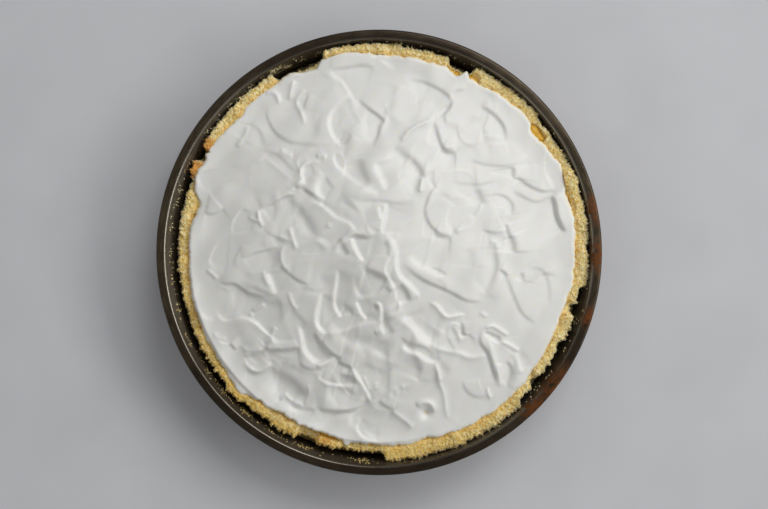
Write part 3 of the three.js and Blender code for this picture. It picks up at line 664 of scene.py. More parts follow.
def spot_share(tree, place, spot, height, core, strength=1.0):
    """Full strength in the core of a round spot, falling to none at its size."""
    across, up, size = spot
    away = add(tree, "ShaderNodeVectorMath", {
        0: place, 1: (across * MM, up * MM, height * MM)}, operation="DISTANCE")
    return add(tree, "ShaderNodeMapRange", {
        0: away, 1: size * MM, 2: core * size * MM, 3: 0.0, 4: strength})


def seasoned_steel():
    """Thin pressed carbon steel, blued and darkened by years of baking: a dark, half-gloss
    brown grey with spun rings, worn streaks and a few rusty stains on the rim. The rim also
    has patches of painted shade, and its inner bend is painted brighter to strengthen its
    highlight."""
    made, tree, shader, place = new_material("seasoned_carbon_steel")
    apart = add(tree, "ShaderNodeSeparateXYZ", {0: place})
    x, y, z = (apart.outputs[k] for k in "XYZ")
    radius = add(tree, "ShaderNodeVectorMath", {0: place}, operation="LENGTH")
    angle = add(tree, "ShaderNodeMath", {0: y, 1: x}, operation="ARCTAN2")
    slow_angle = add(tree, "ShaderNodeMath", {0: angle, 1: .01}, operation="MULTIPLY")
    rings = add(tree, "ShaderNodeCombineXYZ", {0: radius, 1: slow_angle, 2: z})
    # Rings left by the spinning, drawn 0.7 mm wide so that they show.
    spun = add(tree, "ShaderNodeTexNoise", {
        "Vector": rings, "Scale": per_mm(.7), "Detail": 3.0, "Roughness": .6})
    patches = add(tree, "ShaderNodeTexNoise", {
        "Vector": place, "Scale": per_mm(14), "Detail": 5.0, "Roughness": .65})
    tone = ramp(tree, patches, [(.3, "#2f281c"), (.5, "#41372a"), (.72, "#594c3a")])
    streaks = ramp(tree, spun, [(.35, "#282218"), (.65, "#62553f")])
    steel = add(tree, "ShaderNodeMix", {0: .45, 6: tone, 7: streaks}, data_type="RGBA")
    # The inner bend of the rim is worn brighter by knives and cloths. Painted highlight: its
    # metal is made lighter still so that the highlight along it shows strongly.
    flat = add(tree, "ShaderNodeCombineXYZ", {0: x, 1: y})
    out = add(tree, "ShaderNodeVectorMath", {0: flat}, operation="LENGTH")
    from_bend = add(tree, "ShaderNodeMath", {0: out, 1: WORN_SHEEN_RADIUS * MM}, operation="SUBTRACT")
    from_bend = add(tree, "ShaderNodeMath", {0: from_bend}, operation="ABSOLUTE")
    worn_and_sheen = add(tree, "ShaderNodeMapRange", {
        0: from_bend, 1: WORN_SHEEN_CORE * MM, 2: WORN_SHEEN_BORDER * MM, 3: 1.0, 4: 0.0})
    steel = add(tree, "ShaderNodeMix", {
        0: worn_and_sheen, 6: steel, 7: linear("#8a857b")}, data_type="RGBA")
    # Inside, the wall is dulled by a film of baked fat and flour.
    film = add(tree, "ShaderNodeMapRange", {
        0: out, 1: (WORN_SHEEN_RADIUS - .2) * MM, 2: (WORN_SHEEN_RADIUS - .7) * MM})
    steel = add(tree, "ShaderNodeMix", {
        0: film, 6: steel, 7: linear("#665e54")}, data_type="RGBA")
    # Painted shade: darker patches on the rim.
    for spot in RIM_SHADE_SPOTS:
        share = spot_share(tree, place, spot, TIN_HEIGHT, .3, .6)
        steel = add(tree, "ShaderNodeMix", {
            0: share, 6: steel, 7: linear("#201408")}, data_type="RGBA")
    metal = add(tree, "ShaderNodeMapRange", {0: film, 3: .65, 4: .1})
    metal = add(tree, "ShaderNodeMath", {0: worn_and_sheen, 1: .35, 2: metal}, operation="MULTIPLY_ADD")
    stain = 0.0
    for spot in RUST_SPOTS:
        share = spot_share(tree, place, spot, TIN_HEIGHT, .3)
        stain = add(tree, "ShaderNodeMath", {0: stain, 1: share}, operation="MAXIMUM")
    mottle = add(tree, "ShaderNodeTexNoise", {
        "Vector": place, "Scale": per_mm(2.6), "Detail": 4.0, "Roughness": .7})
    patchy = add(tree, "ShaderNodeMapRange", {0: mottle, 1: .36, 2: .56})
    rusty = add(tree, "ShaderNodeMath", {0: stain, 1: patchy}, operation="MULTIPLY")
    colour = add(tree, "ShaderNodeMix", {
        0: rusty, 6: steel, 7: linear("#6a3a10")}, data_type="RGBA")
    dull = add(tree, "ShaderNodeMapRange", {0: patches, 1: .3, 2: .7, 3: .24, 4: .4})
    rough = add(tree, "ShaderNodeMath", {0: rusty, 1: .3, 2: dull}, operation="MULTIPLY_ADD")
    polished = add(tree, "ShaderNodeMath", {0: worn_and_sheen, 1: -.1, 2: rough}, operation="MULTIPLY_ADD")
    bump = add(tree, "ShaderNodeBump", {"Strength": .25, "Distance": .05 * MM, "Height": spun})
    fill(tree, shader, {
        "Base Color": colour, "Metallic": metal, "Roughness": polished, "Normal": bump})
    return made


def baked_pastry(name, pale):
    """Shortcrust baked in the tin: dry, sandy and matt, straw yellow outside and soaked golden
    next to the filling, with a few darker toasted lumps."""
    made, tree, shader, place = new_material(name)
    grains = add(tree, "ShaderNodeTexNoise", {
        "Vector": place, "Scale": per_mm(1.6), "Detail": 5.0, "Roughness": .7})
    lumps = add(tree, "ShaderNodeTexNoise", {
        "Vector": place, "Scale": per_mm(7), "Detail": 3.0, "Roughness": .55})
    if pale:
        sands = [(.3, "#e4d094"), (.48, "#f4e6b4"), (.66, "#fbf3d4")]
    else:
        sands = [(.34, "#c1943f"), (.45, "#ebcf7e"), (.56, "#fae8ac"), (.68, "#fffae0")]
    sandy = ramp(tree, grains, sands)
    golden = ramp(tree, grains, [(.36, "#c48f3c"), (.52, "#eec97a"), (.66, "#fbe6ae")])
    soaked = add(tree, "ShaderNodeAttribute", attribute_name="soaked").outputs["Fac"]
    patchy = add(tree, "ShaderNodeMapRange", {0: lumps, 1: .35, 2: .65, 3: -.25, 4: .25})
    share = add(tree, "ShaderNodeMath", {0: soaked, 1: patchy}, operation="ADD", use_clamp=True)
    colour = add(tree, "ShaderNodeMix", {0: share, 6: sandy, 7: golden}, data_type="RGBA")
    # Painted shade: the lower left side, turned away from the lamps, is a deeper and darker
    # gold, most of all outside.
    side = add(tree, "ShaderNodeVectorMath", {0: place, 1: SHADED_SIDE}, operation="DOT_PRODUCT")
    painted_shade = add(tree, "ShaderNodeMapRange", {0: side, 1: 20 * MM, 2: 115 * MM, 3: 0.0, 4: .62})
    out = add(tree, "ShaderNodeVectorMath", {0: place, 1: (1, 1, 0)}, operation="MULTIPLY")
    out = add(tree, "ShaderNodeVectorMath", {0: out}, operation="LENGTH")
    outside = add(tree, "ShaderNodeMapRange", {
        0: out, 1: SHADE_FROM * MM, 2: SHADE_TO * MM, 3: .1, 4: 1.0})
    painted_shade = add(tree, "ShaderNodeMath", {0: painted_shade, 1: outside}, operation="MULTIPLY")
    colour = add(tree, "ShaderNodeMix", {
        0: painted_shade, 6: colour, 7: linear("#d1a93c")}, data_type="RGBA")
    for *spot, strength in TOASTED_SPOTS:
        share = spot_share(tree, place, spot, CRUST_TOP, .55, strength)
        colour = add(tree, "ShaderNodeMix", {
            0: share, 6: colour, 7: linear("#d69848")}, data_type="RGBA")
    bump = add(tree, "ShaderNodeBump", {"Strength": .6, "Distance": .25 * MM, "Height": grains})
    fill(tree, shader, {
        "Base Color": colour, "Roughness": .8, "Specular IOR Level": .3, "Subsurface Weight": .2,
        "Subsurface Radius": (1.0, .6, .25), "Subsurface Scale": 1.2 * MM, "Normal": bump})
    return made


def set_curd():
    """Lemon curd set by baking: smooth, moist and a deep golden yellow, with light in it."""
    made, tree, shader, place = new_material("set_lemon_curd")
    clouds = add(tree, "ShaderNodeTexNoise", {
        "Vector": place, "Scale": per_mm(6), "Detail": 3.0, "Roughness": .6})
    colour = ramp(tree, clouds, [(.35, "#cc9830"), (.6, "#deb040"), (.8, "#eac460")])
    fill(tree, shader, {
        "Base Color": colour, "Roughness": .25, "IOR": 1.4, "Subsurface Weight": .5,
        "Subsurface Radius": (1.0, .6, .12), "Subsurface Scale": 3 * MM})
    return made


def whipped_meringue():
    """Egg white whipped with sugar, spread and left unbrowned: dense white foam with a soft
    satin gloss. Light goes a few millimetres in, and deep hollows are painted a darker,
    warmer shade."""
    made, tree, shader, place = new_material("whipped_meringue")
    clouds = add(tree, "ShaderNodeTexNoise", {
        "Vector": place, "Scale": per_mm(22), "Detail": 2.0, "Roughness": .5})
    white = ramp(tree, clouds, [(.35, "#eaeae8"), (.65, "#efefed")])
    # Painted shade: deep hollows are mixed towards a darker, warmer colour.
    hollow = add(tree, "ShaderNodeAttribute", attribute_name="hollow").outputs["Fac"]
    colour = add(tree, "ShaderNodeMix", {
        0: hollow, 6: white, 7: linear("#e0cfa4")}, data_type="RGBA")
    # Where it thins out over the crust, the crust's yellow shows through.
    thin = add(tree, "ShaderNodeAttribute", attribute_name="thin").outputs["Fac"]
    smears = add(tree, "ShaderNodeTexNoise", {
        "Vector": place, "Scale": per_mm(2.5), "Detail": 3.0, "Roughness": .6})
    smears = add(tree, "ShaderNodeMapRange", {0: smears, 1: .3, 2: .7, 3: -.55, 4: .25})
    seen = add(tree, "ShaderNodeMath", {0: thin, 1: smears}, operation="ADD", use_clamp=True)
    colour = add(tree, "ShaderNodeMix", {
        0: seen, 6: colour, 7: linear("#f8ecc2")}, data_type="RGBA")
    satin = add(tree, "ShaderNodeMapRange", {0: clouds, 1: .3, 2: .7, 3: .3, 4: .42})
    # The fine drag marks of the foam, about 1 mm wide, drawn 1.8 mm wide so that they show.
    foam = add(tree, "ShaderNodeTexNoise", {
        "Vector": place, "Scale": per_mm(1.8), "Detail": 2.0, "Roughness": .5})
    bump = add(tree, "ShaderNodeBump", {"Strength": .12, "Distance": .12 * MM, "Height": foam})
    fill(tree, shader, {
        "Base Color": colour, "Roughness": satin, "IOR": 1.4, "Subsurface Weight": .6,
        "Subsurface Radius": (1.0, .85, .7), "Subsurface Scale": 1.4 * MM, "Normal": bump})
    return made


def painted_board():
    """A plain pale tabletop, painted matt."""
    made, tree, shader, place = new_material("painted_tabletop")
    clouds = add(tree, "ShaderNodeTexNoise", {
        "Vector": place, "Scale": per_mm(60), "Detail": 2.0, "Roughness": .5})
    colour = ramp(tree, clouds, [(.3, "#c8c9ce"), (.7, "#cecfd4")])
    fill(tree, shader, {"Base Color": colour, "Roughness": .7})
    return made


# ---- small helpers

def turn(start, end):
    """The signed turn in degrees from one angle to another, between -180 and 180."""
    return (end - start + 180) % 360 - 180


def lattice_noise(points, size, seed):
    """Smooth random values of 0 to 1 at points, changing over the given size."""
    place = points / size
    low = np.floor(place).astype(np.int64)
    part = place - low
    part = part * part * (3 - 2 * part)
    total = np.zeros(len(points))
    for corner in range(8):
        step = np.array([corner & 1, corner >> 1 & 1, corner >> 2 & 1])
        cell = low + step
        mixed = (cell[:, 0] * 73856093 ^ cell[:, 1] * 19349663 ^ cell[:, 2] * 83492791
                 ^ seed * 2654435761) & 0xFFFFFFFF
        mixed = (mixed ^ mixed >> 15) * 2246822519 & 0xFFFFFFFF
        mixed = (mixed ^ mixed >> 13) * 3266489917 & 0xFFFFFFFF
        value = (mixed ^ mixed >> 16) / 4294967296.0
        weight = np.prod(np.where(step == 1, part, 1 - part), axis=1)
        total += weight * value
    return total


def put_in_scene(name, data):
    """An object at the origin with the given mesh, lamp or camera."""
    made = bpy.data.objects.new(name, data)
    bpy.context.scene.collection.objects.link(made)
    return made


def make_piece(name, points, faces, material):
    """A smoothly shaded object at the origin, from points in millimetres."""
    mesh = bpy.data.meshes.new(name)
    mesh.from_pydata((np.asarray(points) * MM).tolist(), [], faces)
    mesh.polygons.foreach_set("use_smooth", [True] * len(mesh.polygons))
    mesh.update()
    if material:
        mesh.materials.append(material)
    return put_in_scene(name, mesh)


def points_of(mesh):
    """The mesh's points as rows of x, y and z."""
    points = np.empty(len(mesh.vertices) * 3)
    mesh.vertices.foreach_get("co", points)
    return points.reshape(-1, 3)


def values_of(mesh, name):
    """The numbers that point_values has kept."""
    values = np.empty(len(mesh.vertices))
    mesh.attributes[name].data.foreach_get("value", values)
    return values


def point_values(piece, name, values):
    """Keeps one number for each of the piece's points."""
    attribute = piece.data.attributes.new(name, "FLOAT", "POINT")
    attribute.data.foreach_set("value", np.asarray(values, np.float32))


def wheel_faces(sectors, rings):
    """Faces of a body turned round Z: point 0 below, sectors times rings points, then the
    last point on top."""
    here = 1 + np.arange(sectors)[:, None] * rings + np.arange(rings - 1)[None, :]
    following = 1 + (np.arange(sectors)[:, None] + 1) % sectors * rings + np.arange(rings - 1)
    walls = np.stack([here, following, following + 1, here + 1], -1).reshape(-1, 4)
    first = 1 + np.arange(sectors) * rings
    after = np.roll(first, -1)
    top = 1 + sectors * rings
    below = [(0, int(b), int(a)) for a, b in zip(first, after)]
    above = [(int(a) + rings - 1, int(b) + rings - 1, top) for a, b in zip(first, after)]
    return below + walls.tolist() + above


def round_points(r, z, degrees):
    """Points at a distance from the middle, a height and an angle round the pie."""
    angle = np.radians(degrees)
    return np.stack([r * np.cos(angle), r * np.sin(angle), z + 0 * r], -1)


def turned_body(name, points, low, high, material):
    """A closed body from sectors of ring points, with a middle point below and one on top."""
    faces = wheel_faces(*points.shape[:2])
    points = np.concatenate([[[0, 0, low]], points.reshape(-1, 3), [[0, 0, high]]])
    return make_piece(name, points, faces, material)


# ---- edges round the pie

def wall_radius(z):
    """Inside radius of the tin's wall at a height."""
    return TIN_RADIUS - RIM_BAND - WALL_TAPER * (TIN_HEIGHT - z) / TIN_HEIGHT


def stretch_share(degrees, start, end):
    """1 inside a stretch round the pie, easing to 0 at both of its ends."""
    middle, half = (start + end) / 2, (end - start) / 2
    away = np.abs(turn(middle, degrees))
    return 1 - smooth(half - STEP_SOFTNESS, half + STEP_SOFTNESS, away)


def bulge_share(degrees, middle, half):
    """1 in the middle of a bulge, easing to 0 at twice its half width."""
    away = np.abs(turn(middle, degrees)) / half
    return np.where(away < 2, np.cos(np.minimum(away, 2) * math.pi / 4) ** 2, 0)


def crumble(degrees, phase):
    """The small unevenness of a crumbly edge."""
    angle = np.radians(degrees)
    slow = np.sin(17 * angle + phase) + .8 * np.sin(29 * angle + 2.3 * phase)
    return .3 * (slow + .7 * np.sin(53 * angle + 4.1 * phase))


def ragged(degrees, size, seed):
    """Random unevenness along the crust's rim, of -1 to 1."""
    return 2 * lattice_noise(round_points(120 + 0 * degrees, 0, degrees), size, seed) - 1


def wandering(degrees):
    """Angles that wander a little, so that broken edges aren't cut straight."""
    return degrees + .45 * ragged(degrees, 2.2, 13)


def crust_level(degrees):
    """The crust's usual top, which climbs higher up the tin on one side."""
    return CRUST_TOP + CRUST_TILT * np.cos(np.radians(degrees - HIGH_SIDE))


def crust_top(degrees):
    """Height of the crust's crumbly upper edge."""
    top = crust_level(degrees) + crumble(degrees, 1.7)
    for start, end, _, change in CRUST_STRETCHES:
        top = top + change * stretch_share(wandering(degrees), start, end)
    return top + .6 * ragged(degrees, 5, 5)


def crust_set_back(degrees):
    """How far the crust's upper edge stands off the tin's wall."""
    back = .3 + .5 * np.abs(crumble(degrees, .4))
    for start, end, away, _ in CRUST_STRETCHES:
        back = back + away * stretch_share(wandering(degrees), start, end)
    spikes = 1.6 * clamp(ragged(degrees, 1.1, 12)) ** 1.4
    return np.maximum(back + .5 * (1 + ragged(degrees, 1.6, 7)) - spikes, 0)


def crust_outside(degrees, z, top):
    """Radius of the crust's outside, which leaves the tin's wall towards its top."""
    freed = smooth(.2, 1, (z - CRUST_FLOOR) / (top - CRUST_FLOOR))
    return wall_radius(z) - GAP - crust_set_back(degrees) * freed


def free_edge(degrees):
    """The meringue's edge, eased from each of its places to the next."""
    angles, out = np.array(EDGE).T
    before = np.searchsorted(angles, degrees % 360, side="right") - 1
    after = (before + 1) % len(angles)
    span = (angles[after] - angles[before]) % 360
    share = smooth(0, 1, (degrees % 360 - angles[before]) / span)
    return MERINGUE_RADIUS + out[before] + (out[after] - out[before]) * share


def meringue_edge(degrees):
    """The meringue's edge with the wisps that lie over the crust."""
    edge = free_edge(degrees)
    for middle, half, out in EDGE_WISPS:
        edge = edge + out * bulge_share(degrees, middle, half)
    edge = edge + .4 * ragged(degrees, 7, 9) + .4 * ragged(degrees, 3, 10)
    edge = edge + .35 * ragged(degrees, 1.5, 14)
    return np.minimum(edge, wall_radius(30) - EDGE_CLEAR)


def filling_shows(degrees):
    """1 where the filling shows between the crust and the meringue."""
    shows = 0 * degrees
    for start, end, _ in FILLING_SHOWS:
        shows = np.maximum(shows, stretch_share(wandering(degrees), start, end))
    return shows


def crust_inside(degrees):
    """Radius of the crust's inside at its top: under the meringue's edge, or further out
    where the filling shows."""
    inside = free_edge(degrees) - 1
    for start, end, width in FILLING_SHOWS:
        inside = inside + width * stretch_share(wandering(degrees), start, end)
    top = crust_top(degrees)
    return np.minimum(inside, crust_outside(degrees, top, top) - CRUST_LEAST)


# ---- the crust

CRUST_UNDERSIDE = TIN_SHEET + GAP
FLOOR_TOP = CRUST_UNDERSIDE + CRUST_FLOOR
# How far the crust's inside leans in towards the floor, and where its free wall begins.
FOOT_LEAN = 2.5
WALL_FROM = 6
WALL_RINGS = 12
# The outer corner of its top is rounded over by this height, over this share of the top; the
# inner part of the top falls away towards the filling, beginning at the last share.
TOP_ROUND = 1.6
TOP_ROUND_SHARE = 0.18
TOP_FALL_SHARE = 0.6
# Its skin is smooth below the first of these heights and fully crumbly above the second.
CRUMBLY_FROM = 9
CRUMBLY_TO = 16


def crust_rings(degrees):
    """Radii and heights of the crust's rings, from under its floor, up the outside, across
    the top and down the inside, and how far each is soaked by the filling."""
    top = crust_top(degrees)
    outside = crust_outside(degrees, top, top)
    inside = crust_inside(degrees)
    corner = wall_radius(BASE_CORNER) - GAP
    rings = [(corner - BASE_CORNER + 0 * top, CRUST_UNDERSIDE + 0 * top, 0),
             (corner - .4 + 0 * top, BASE_CORNER + CRUST_UNDERSIDE + 0 * top, 0)]
    for k in range(1, WALL_RINGS + 1):
        z = WALL_FROM + (top - TOP_ROUND - WALL_FROM) * (k / WALL_RINGS) ** .6
        rings.append((crust_outside(degrees, z, top), z, 0))
    fallen = .8 + 1.2 * filling_shows(degrees)
    for k in range(1, CRUST_ACROSS):
        share = k / CRUST_ACROSS
        fall = TOP_ROUND * np.maximum(1 - share / TOP_ROUND_SHARE, 0) ** 2 \
            + fallen * max(share - TOP_FALL_SHARE, 0) / (1 - TOP_FALL_SHARE)
        rings.append((outside + (inside - outside) * share, top - fall, smooth(.35, 1, share)))
    for k in range(4):
        z = top - 2.2 + (FLOOR_TOP + 1.5 - top + 2.2) * k / 3
        rings.append((inside - FOOT_LEAN * k / 3, z, 1))
    rings.append((inside - FOOT_LEAN - 2, FLOOR_TOP + 0 * top, 1))
    return rings


def make_crust(material):
    degrees = 360 * np.arange(CRUST_SECTORS) / CRUST_SECTORS
    rings = crust_rings(degrees)
    r = np.stack([ring[0] for ring in rings], 1)
    z = np.stack([ring[1] for ring in rings], 1)
    soaked = np.broadcast_to(np.array([ring[2] for ring in rings]), r.shape)
    points = round_points(r, z, degrees[:, None])
    # Outward direction in each sector's own section, from the neighbouring rings.
    dr, dz = np.gradient(r, axis=1), np.gradient(z, axis=1)
    length = np.hypot(dr, dz) + 1e-9
    out_r, out_z = dz / length, -dr / length
    # Crumbs and clumps of three sizes push the skin out and in, most of all along the top.
    flat = points.reshape(-1, 3)
    grain = lattice_noise(flat, CRUMB, 21) * .6 + lattice_noise(flat, CRUMB * 2.2, 22) * .5
    fine = lattice_noise(flat, CRUMB * .55, 23)
    push = (1.25 * (grain ** 1.5) + .45 * fine - .75).reshape(r.shape)
    outer = clamp(1 - np.abs(np.arange(len(rings)) - WALL_RINGS) / (.6 * CRUST_ACROSS))
    push *= .5 + .8 * outer
    shown = smooth(CRUMBLY_FROM, CRUMBLY_TO, z)
    z = z + push * shown * out_z * 1.2
    r = np.minimum(r + push * shown * out_r, wall_radius(z) - .12)
    points = round_points(r, z, degrees[:, None])
    piece = turned_body("crust_baked", points, CRUST_UNDERSIDE, FLOOR_TOP, material)
    point_values(piece, "soaked", np.concatenate([[0], soaked.ravel(), [1]]))
    across = np.arange(len(rings)) - WALL_RINGS
    rim = np.broadcast_to(clamp(1 - np.abs(across - 2) / 5), r.shape)
    point_values(piece, "rim", np.concatenate([[0], rim.ravel(), [0]]))
    return piece


# ---- the lemon filling

FILLING_SECTORS = 720
FILLING_SINKS = 1.8
FILLING_CLEAR = 0.25


def make_filling(material):
    degrees = 360 * np.arange(FILLING_SECTORS) / FILLING_SECTORS
    inside = crust_inside(degrees)
    rim = crust_level(degrees) - FILLING_SINKS
    under = free_edge(degrees)
    clear = FILLING_CLEAR
    rings = [(inside - FOOT_LEAN - 2 - clear, FLOOR_TOP + GAP),
             (inside - FOOT_LEAN - clear, FLOOR_TOP + 1.8),
             (inside - FOOT_LEAN / 2 - clear, 17),
             (inside - .1, rim - .8),
             (inside - .15, rim),
             (np.minimum(inside - .5, under - .6), rim),
             (under - 2.5, rim - 3),
             (under - 9, FILLING_TOP)]
    r = np.stack([ring[0] for ring in rings], 1)
    z = np.stack([ring[1] + 0 * degrees for ring in rings], 1)
    points = round_points(r, z, degrees[:, None])
    uneven = .25 * lattice_noise(points.reshape(-1, 3), 3, 31).reshape(r.shape)
    points[..., 2] += np.where(points[..., 2] > 20, uneven, 0)
    return turned_body("filling_set", points, FLOOR_TOP + GAP, FILLING_TOP, material)


# ---- the meringue

# How far round a point its surroundings reach, in steps of the grid, and by how many
# millimetres it has to lie below them to begin to take the painted shade of a hollow, and
# then to be at its darkest.
HOLLOW_SHADE_BLUR = 60
HOLLOW_SHADE_FROM = 1.1
HOLLOW_SHADE_DEPTH = 2.4
# Width of the border through which the crust shows.
THIN_BORDER = 2


def on_disc(a, b):
    """Maps a square of -1..1 onto the unit disc with cells of nearly one size."""
    wide = np.abs(a) > np.abs(b)
    with np.errstate(divide="ignore", invalid="ignore"):
        degrees = np.where(wide, 45 * b / a + 180 * (a < 0), 90 - 45 * a / b + 180 * (b < 0))
    ring = np.maximum(np.abs(a), np.abs(b))
    return ring, np.where(ring == 0, 0, degrees)


def spread_out(grid, times):
    """The grid softened by its neighbours, a number of times."""
    for _ in range(times):
        wide = np.pad(grid, 1, mode="edge")
        grid = (wide[:-2, 1:-1] + wide[2:, 1:-1] + wide[1:-1, :-2] + wide[1:-1, 2:]) / 4
    return grid


def make_meringue(material):
    n = MERINGUE_GRID
    line = 2 * np.arange(n + 1) / n - 1
    a, b = (grid.ravel() for grid in np.meshgrid(line, line))
    share, degrees = on_disc(a, b)
    rim = meringue_edge(degrees)
    r = share * rim
    x, y = r * np.cos(np.radians(degrees)), r * np.sin(np.radians(degrees))
    z = meringue_height(x, y)
    # How deep each point lies below its surroundings, for the painted shade of the hollows.
    around = spread_out(z.reshape(n + 1, n + 1), HOLLOW_SHADE_BLUR).ravel()
    hollow = clamp((around - z - HOLLOW_SHADE_FROM) / HOLLOW_SHADE_DEPTH)
    inwards = clamp((rim - r) / EDGE_ROUND)
    rounding = np.sqrt(1 - (1 - inwards) ** 2)
    foot = crust_level(degrees) - EDGE_DROP
    z = foot + (z - foot) * rounding
    points = np.stack([x, y, z], -1)
    row = n + 1
    i, j = np.meshgrid(np.arange(n), np.arange(n))
    corner = (j * row + i).ravel()
    faces = np.stack([corner, corner + 1, corner + row + 1, corner + row], -1).tolist()
    edge = [*range(n), *(k * row + n for k in range(n)),
            *(n * row + k for k in range(n, 0, -1)), *(k * row for k in range(n, 0, -1))]
    ring = points[edge].copy()
    ring[:, :2] *= 1 - UNDERCUT / np.hypot(ring[:, 0], ring[:, 1])[:, None]
    ring[:, 2] = FILLING_TOP + GAP
    start = len(points)
    points = np.concatenate([points, ring, [[0, 0, FILLING_TOP + GAP]]])
    for k in range(len(edge)):
        after = (k + 1) % len(edge)
        faces.append((edge[k], start + k, start + after, edge[after]))
        faces.append((start + k, len(points) - 1, start + after))
    piece = make_piece("meringue_spread", points, faces, material)
    point_values(piece, "hollow", np.concatenate([hollow, np.zeros(len(edge) + 1)]))
    thin = clamp(1 - (rim - r) / THIN_BORDER)
    point_values(piece, "thin", np.concatenate([thin, np.ones(len(edge) + 1)]))
    return piece


# ---- the tin

def arc(centre_r, centre_z, radius, start, end, steps):
    """Points of an arc in the (radius, height) plane."""
    turned = np.radians(np.linspace(start, end, steps + 1))
    return [(centre_r + radius * math.cos(t), centre_z + radius * math.sin(t)) for t in turned]


def tin_section():
    """The tin's section, from the middle of its underside, out, up, over the rolled rim and
    back down the inside to the middle of its floor."""
    slope = 90 - math.degrees(math.atan2(WALL_TAPER, TIN_HEIGHT))
    under_band = TIN_HEIGHT - TIN_SHEET
    mouth = TIN_RADIUS - RIM_BAND
    bead_z = TIN_HEIGHT - RIM_BEAD - BEAD_BELOW
    inner = BASE_CORNER - TIN_SHEET / 2
    band_wide = RIM_BAND - RIM_BEAD - RIM_BEND
    crown = [(mouth + RIM_BEND + band_wide * k / 6,
              TIN_HEIGHT - BAND_BELOW - BAND_FALLS * (k / 6) ** 2) for k in range(1, 6)]
    outer = [(wall_radius(z) + TIN_SHEET, z) for z in (12, 22, 31)]
    inner_wall = [(wall_radius(z), z) for z in (34, 29, 24, 18, 10)]
    return [
        (0, 0), (40, 0), (80, 0),
        *arc(wall_radius(0) + TIN_SHEET - BASE_CORNER, BASE_CORNER, BASE_CORNER,
             -90, slope - 90, 8),
        *outer,
        *arc(mouth + TIN_SHEET + UNDER_BEND, under_band - 1.3, UNDER_BEND, 180, 90, 5),
        *arc(TIN_RADIUS - RIM_BEAD, bead_z, RIM_BEAD, -150, 86, 16),
        *reversed(crown),
        *arc(mouth + RIM_BEND, TIN_HEIGHT - BAND_BELOW - RIM_BEND, RIM_BEND,
             90, 180 - (90 - slope), 8),
        *inner_wall,
        *arc(wall_radius(TIN_SHEET + inner) - inner, TIN_SHEET + inner, inner,
             slope - 90, -90, 8),
        (80, TIN_SHEET), (40, TIN_SHEET), (0, TIN_SHEET),
    ]


def new_geometry_tree(name, sizes):
    """A tree with named inputs, each of a kind and a usual size, and what they are given."""
    tree = bpy.data.node_groups.new(name, "GeometryNodeTree")
    for way in ("INPUT", "OUTPUT"):
        tree.interface.new_socket("Geometry", in_out=way, socket_type="NodeSocketGeometry")
    for size, (kind, usual) in sizes.items():
        made = tree.interface.new_socket(size, in_out="INPUT", socket_type="NodeSocket" + kind)
        made.default_value = usual
    tree.interface.new_socket("Material", in_out="INPUT", socket_type="NodeSocketMaterial")
    return tree, tree.nodes.new("NodeGroupInput").outputs


def turned_tree():
    """Turns a section of points round the Z axis into a closed body."""
    tree, given = new_geometry_tree("turned_tin", {"Sectors": ("Int", 64),
                                                   "Section points": ("Int", 10)})
    around = add(tree, "ShaderNodeMath", {0: given["Sectors"], 1: 1})
    sheet = add(tree, "GeometryNodeMeshGrid", {
        "Size X": 1.0, "Size Y": 1.0, "Vertices X": around,
        "Vertices Y": given["Section points"]})
    place = add(tree, "GeometryNodeInputPosition")
    apart = add(tree, "ShaderNodeSeparateXYZ", {0: place})
    angle = add(tree, "ShaderNodeMath", {0: apart.outputs["X"], 1: .5})
    angle = add(tree, "ShaderNodeMath", {0: angle, 1: 2 * math.pi}, operation="MULTIPLY")
    last = add(tree, "ShaderNodeMath", {0: given["Section points"], 1: 1}, operation="SUBTRACT")
    step = add(tree, "ShaderNodeMath", {0: apart.outputs["Y"], 1: .5})
    step = add(tree, "ShaderNodeMath", {0: step, 1: last}, operation="MULTIPLY")
    step = add(tree, "ShaderNodeMath", {0: step}, operation="ROUND")
    section = add(tree, "GeometryNodeSampleIndex", {
        "Geometry": given["Geometry"], "Value": place,
        "Index": step}, data_type="FLOAT_VECTOR", domain="POINT")
    section = add(tree, "ShaderNodeSeparateXYZ", {0: section})
    cos = add(tree, "ShaderNodeMath", {0: angle}, operation="COSINE")
    sin = add(tree, "ShaderNodeMath", {0: angle}, operation="SINE")
    x = add(tree, "ShaderNodeMath", {0: section.outputs["X"], 1: cos}, operation="MULTIPLY")
    y = add(tree, "ShaderNodeMath", {0: section.outputs["X"], 1: sin}, operation="MULTIPLY")
    turned = add(tree, "ShaderNodeCombineXYZ", {0: x, 1: y, 2: section.outputs["Z"]})
    moved = add(tree, "GeometryNodeSetPosition", {"Geometry": sheet, "Position": turned})
    closed = add(tree, "GeometryNodeMergeByDistance", {"Geometry": moved, "Distance": .00001})
    smooth_faces = add(tree, "GeometryNodeSetShadeSmooth", {"Geometry": closed})
    real = add(tree, "GeometryNodeRealizeInstances", {"Geometry": smooth_faces})
    dressed = add(tree, "GeometryNodeSetMaterial", {
        "Geometry": real, "Material": given["Material"]})
    add(tree, "NodeGroupOutput", {0: dressed})
    return tree


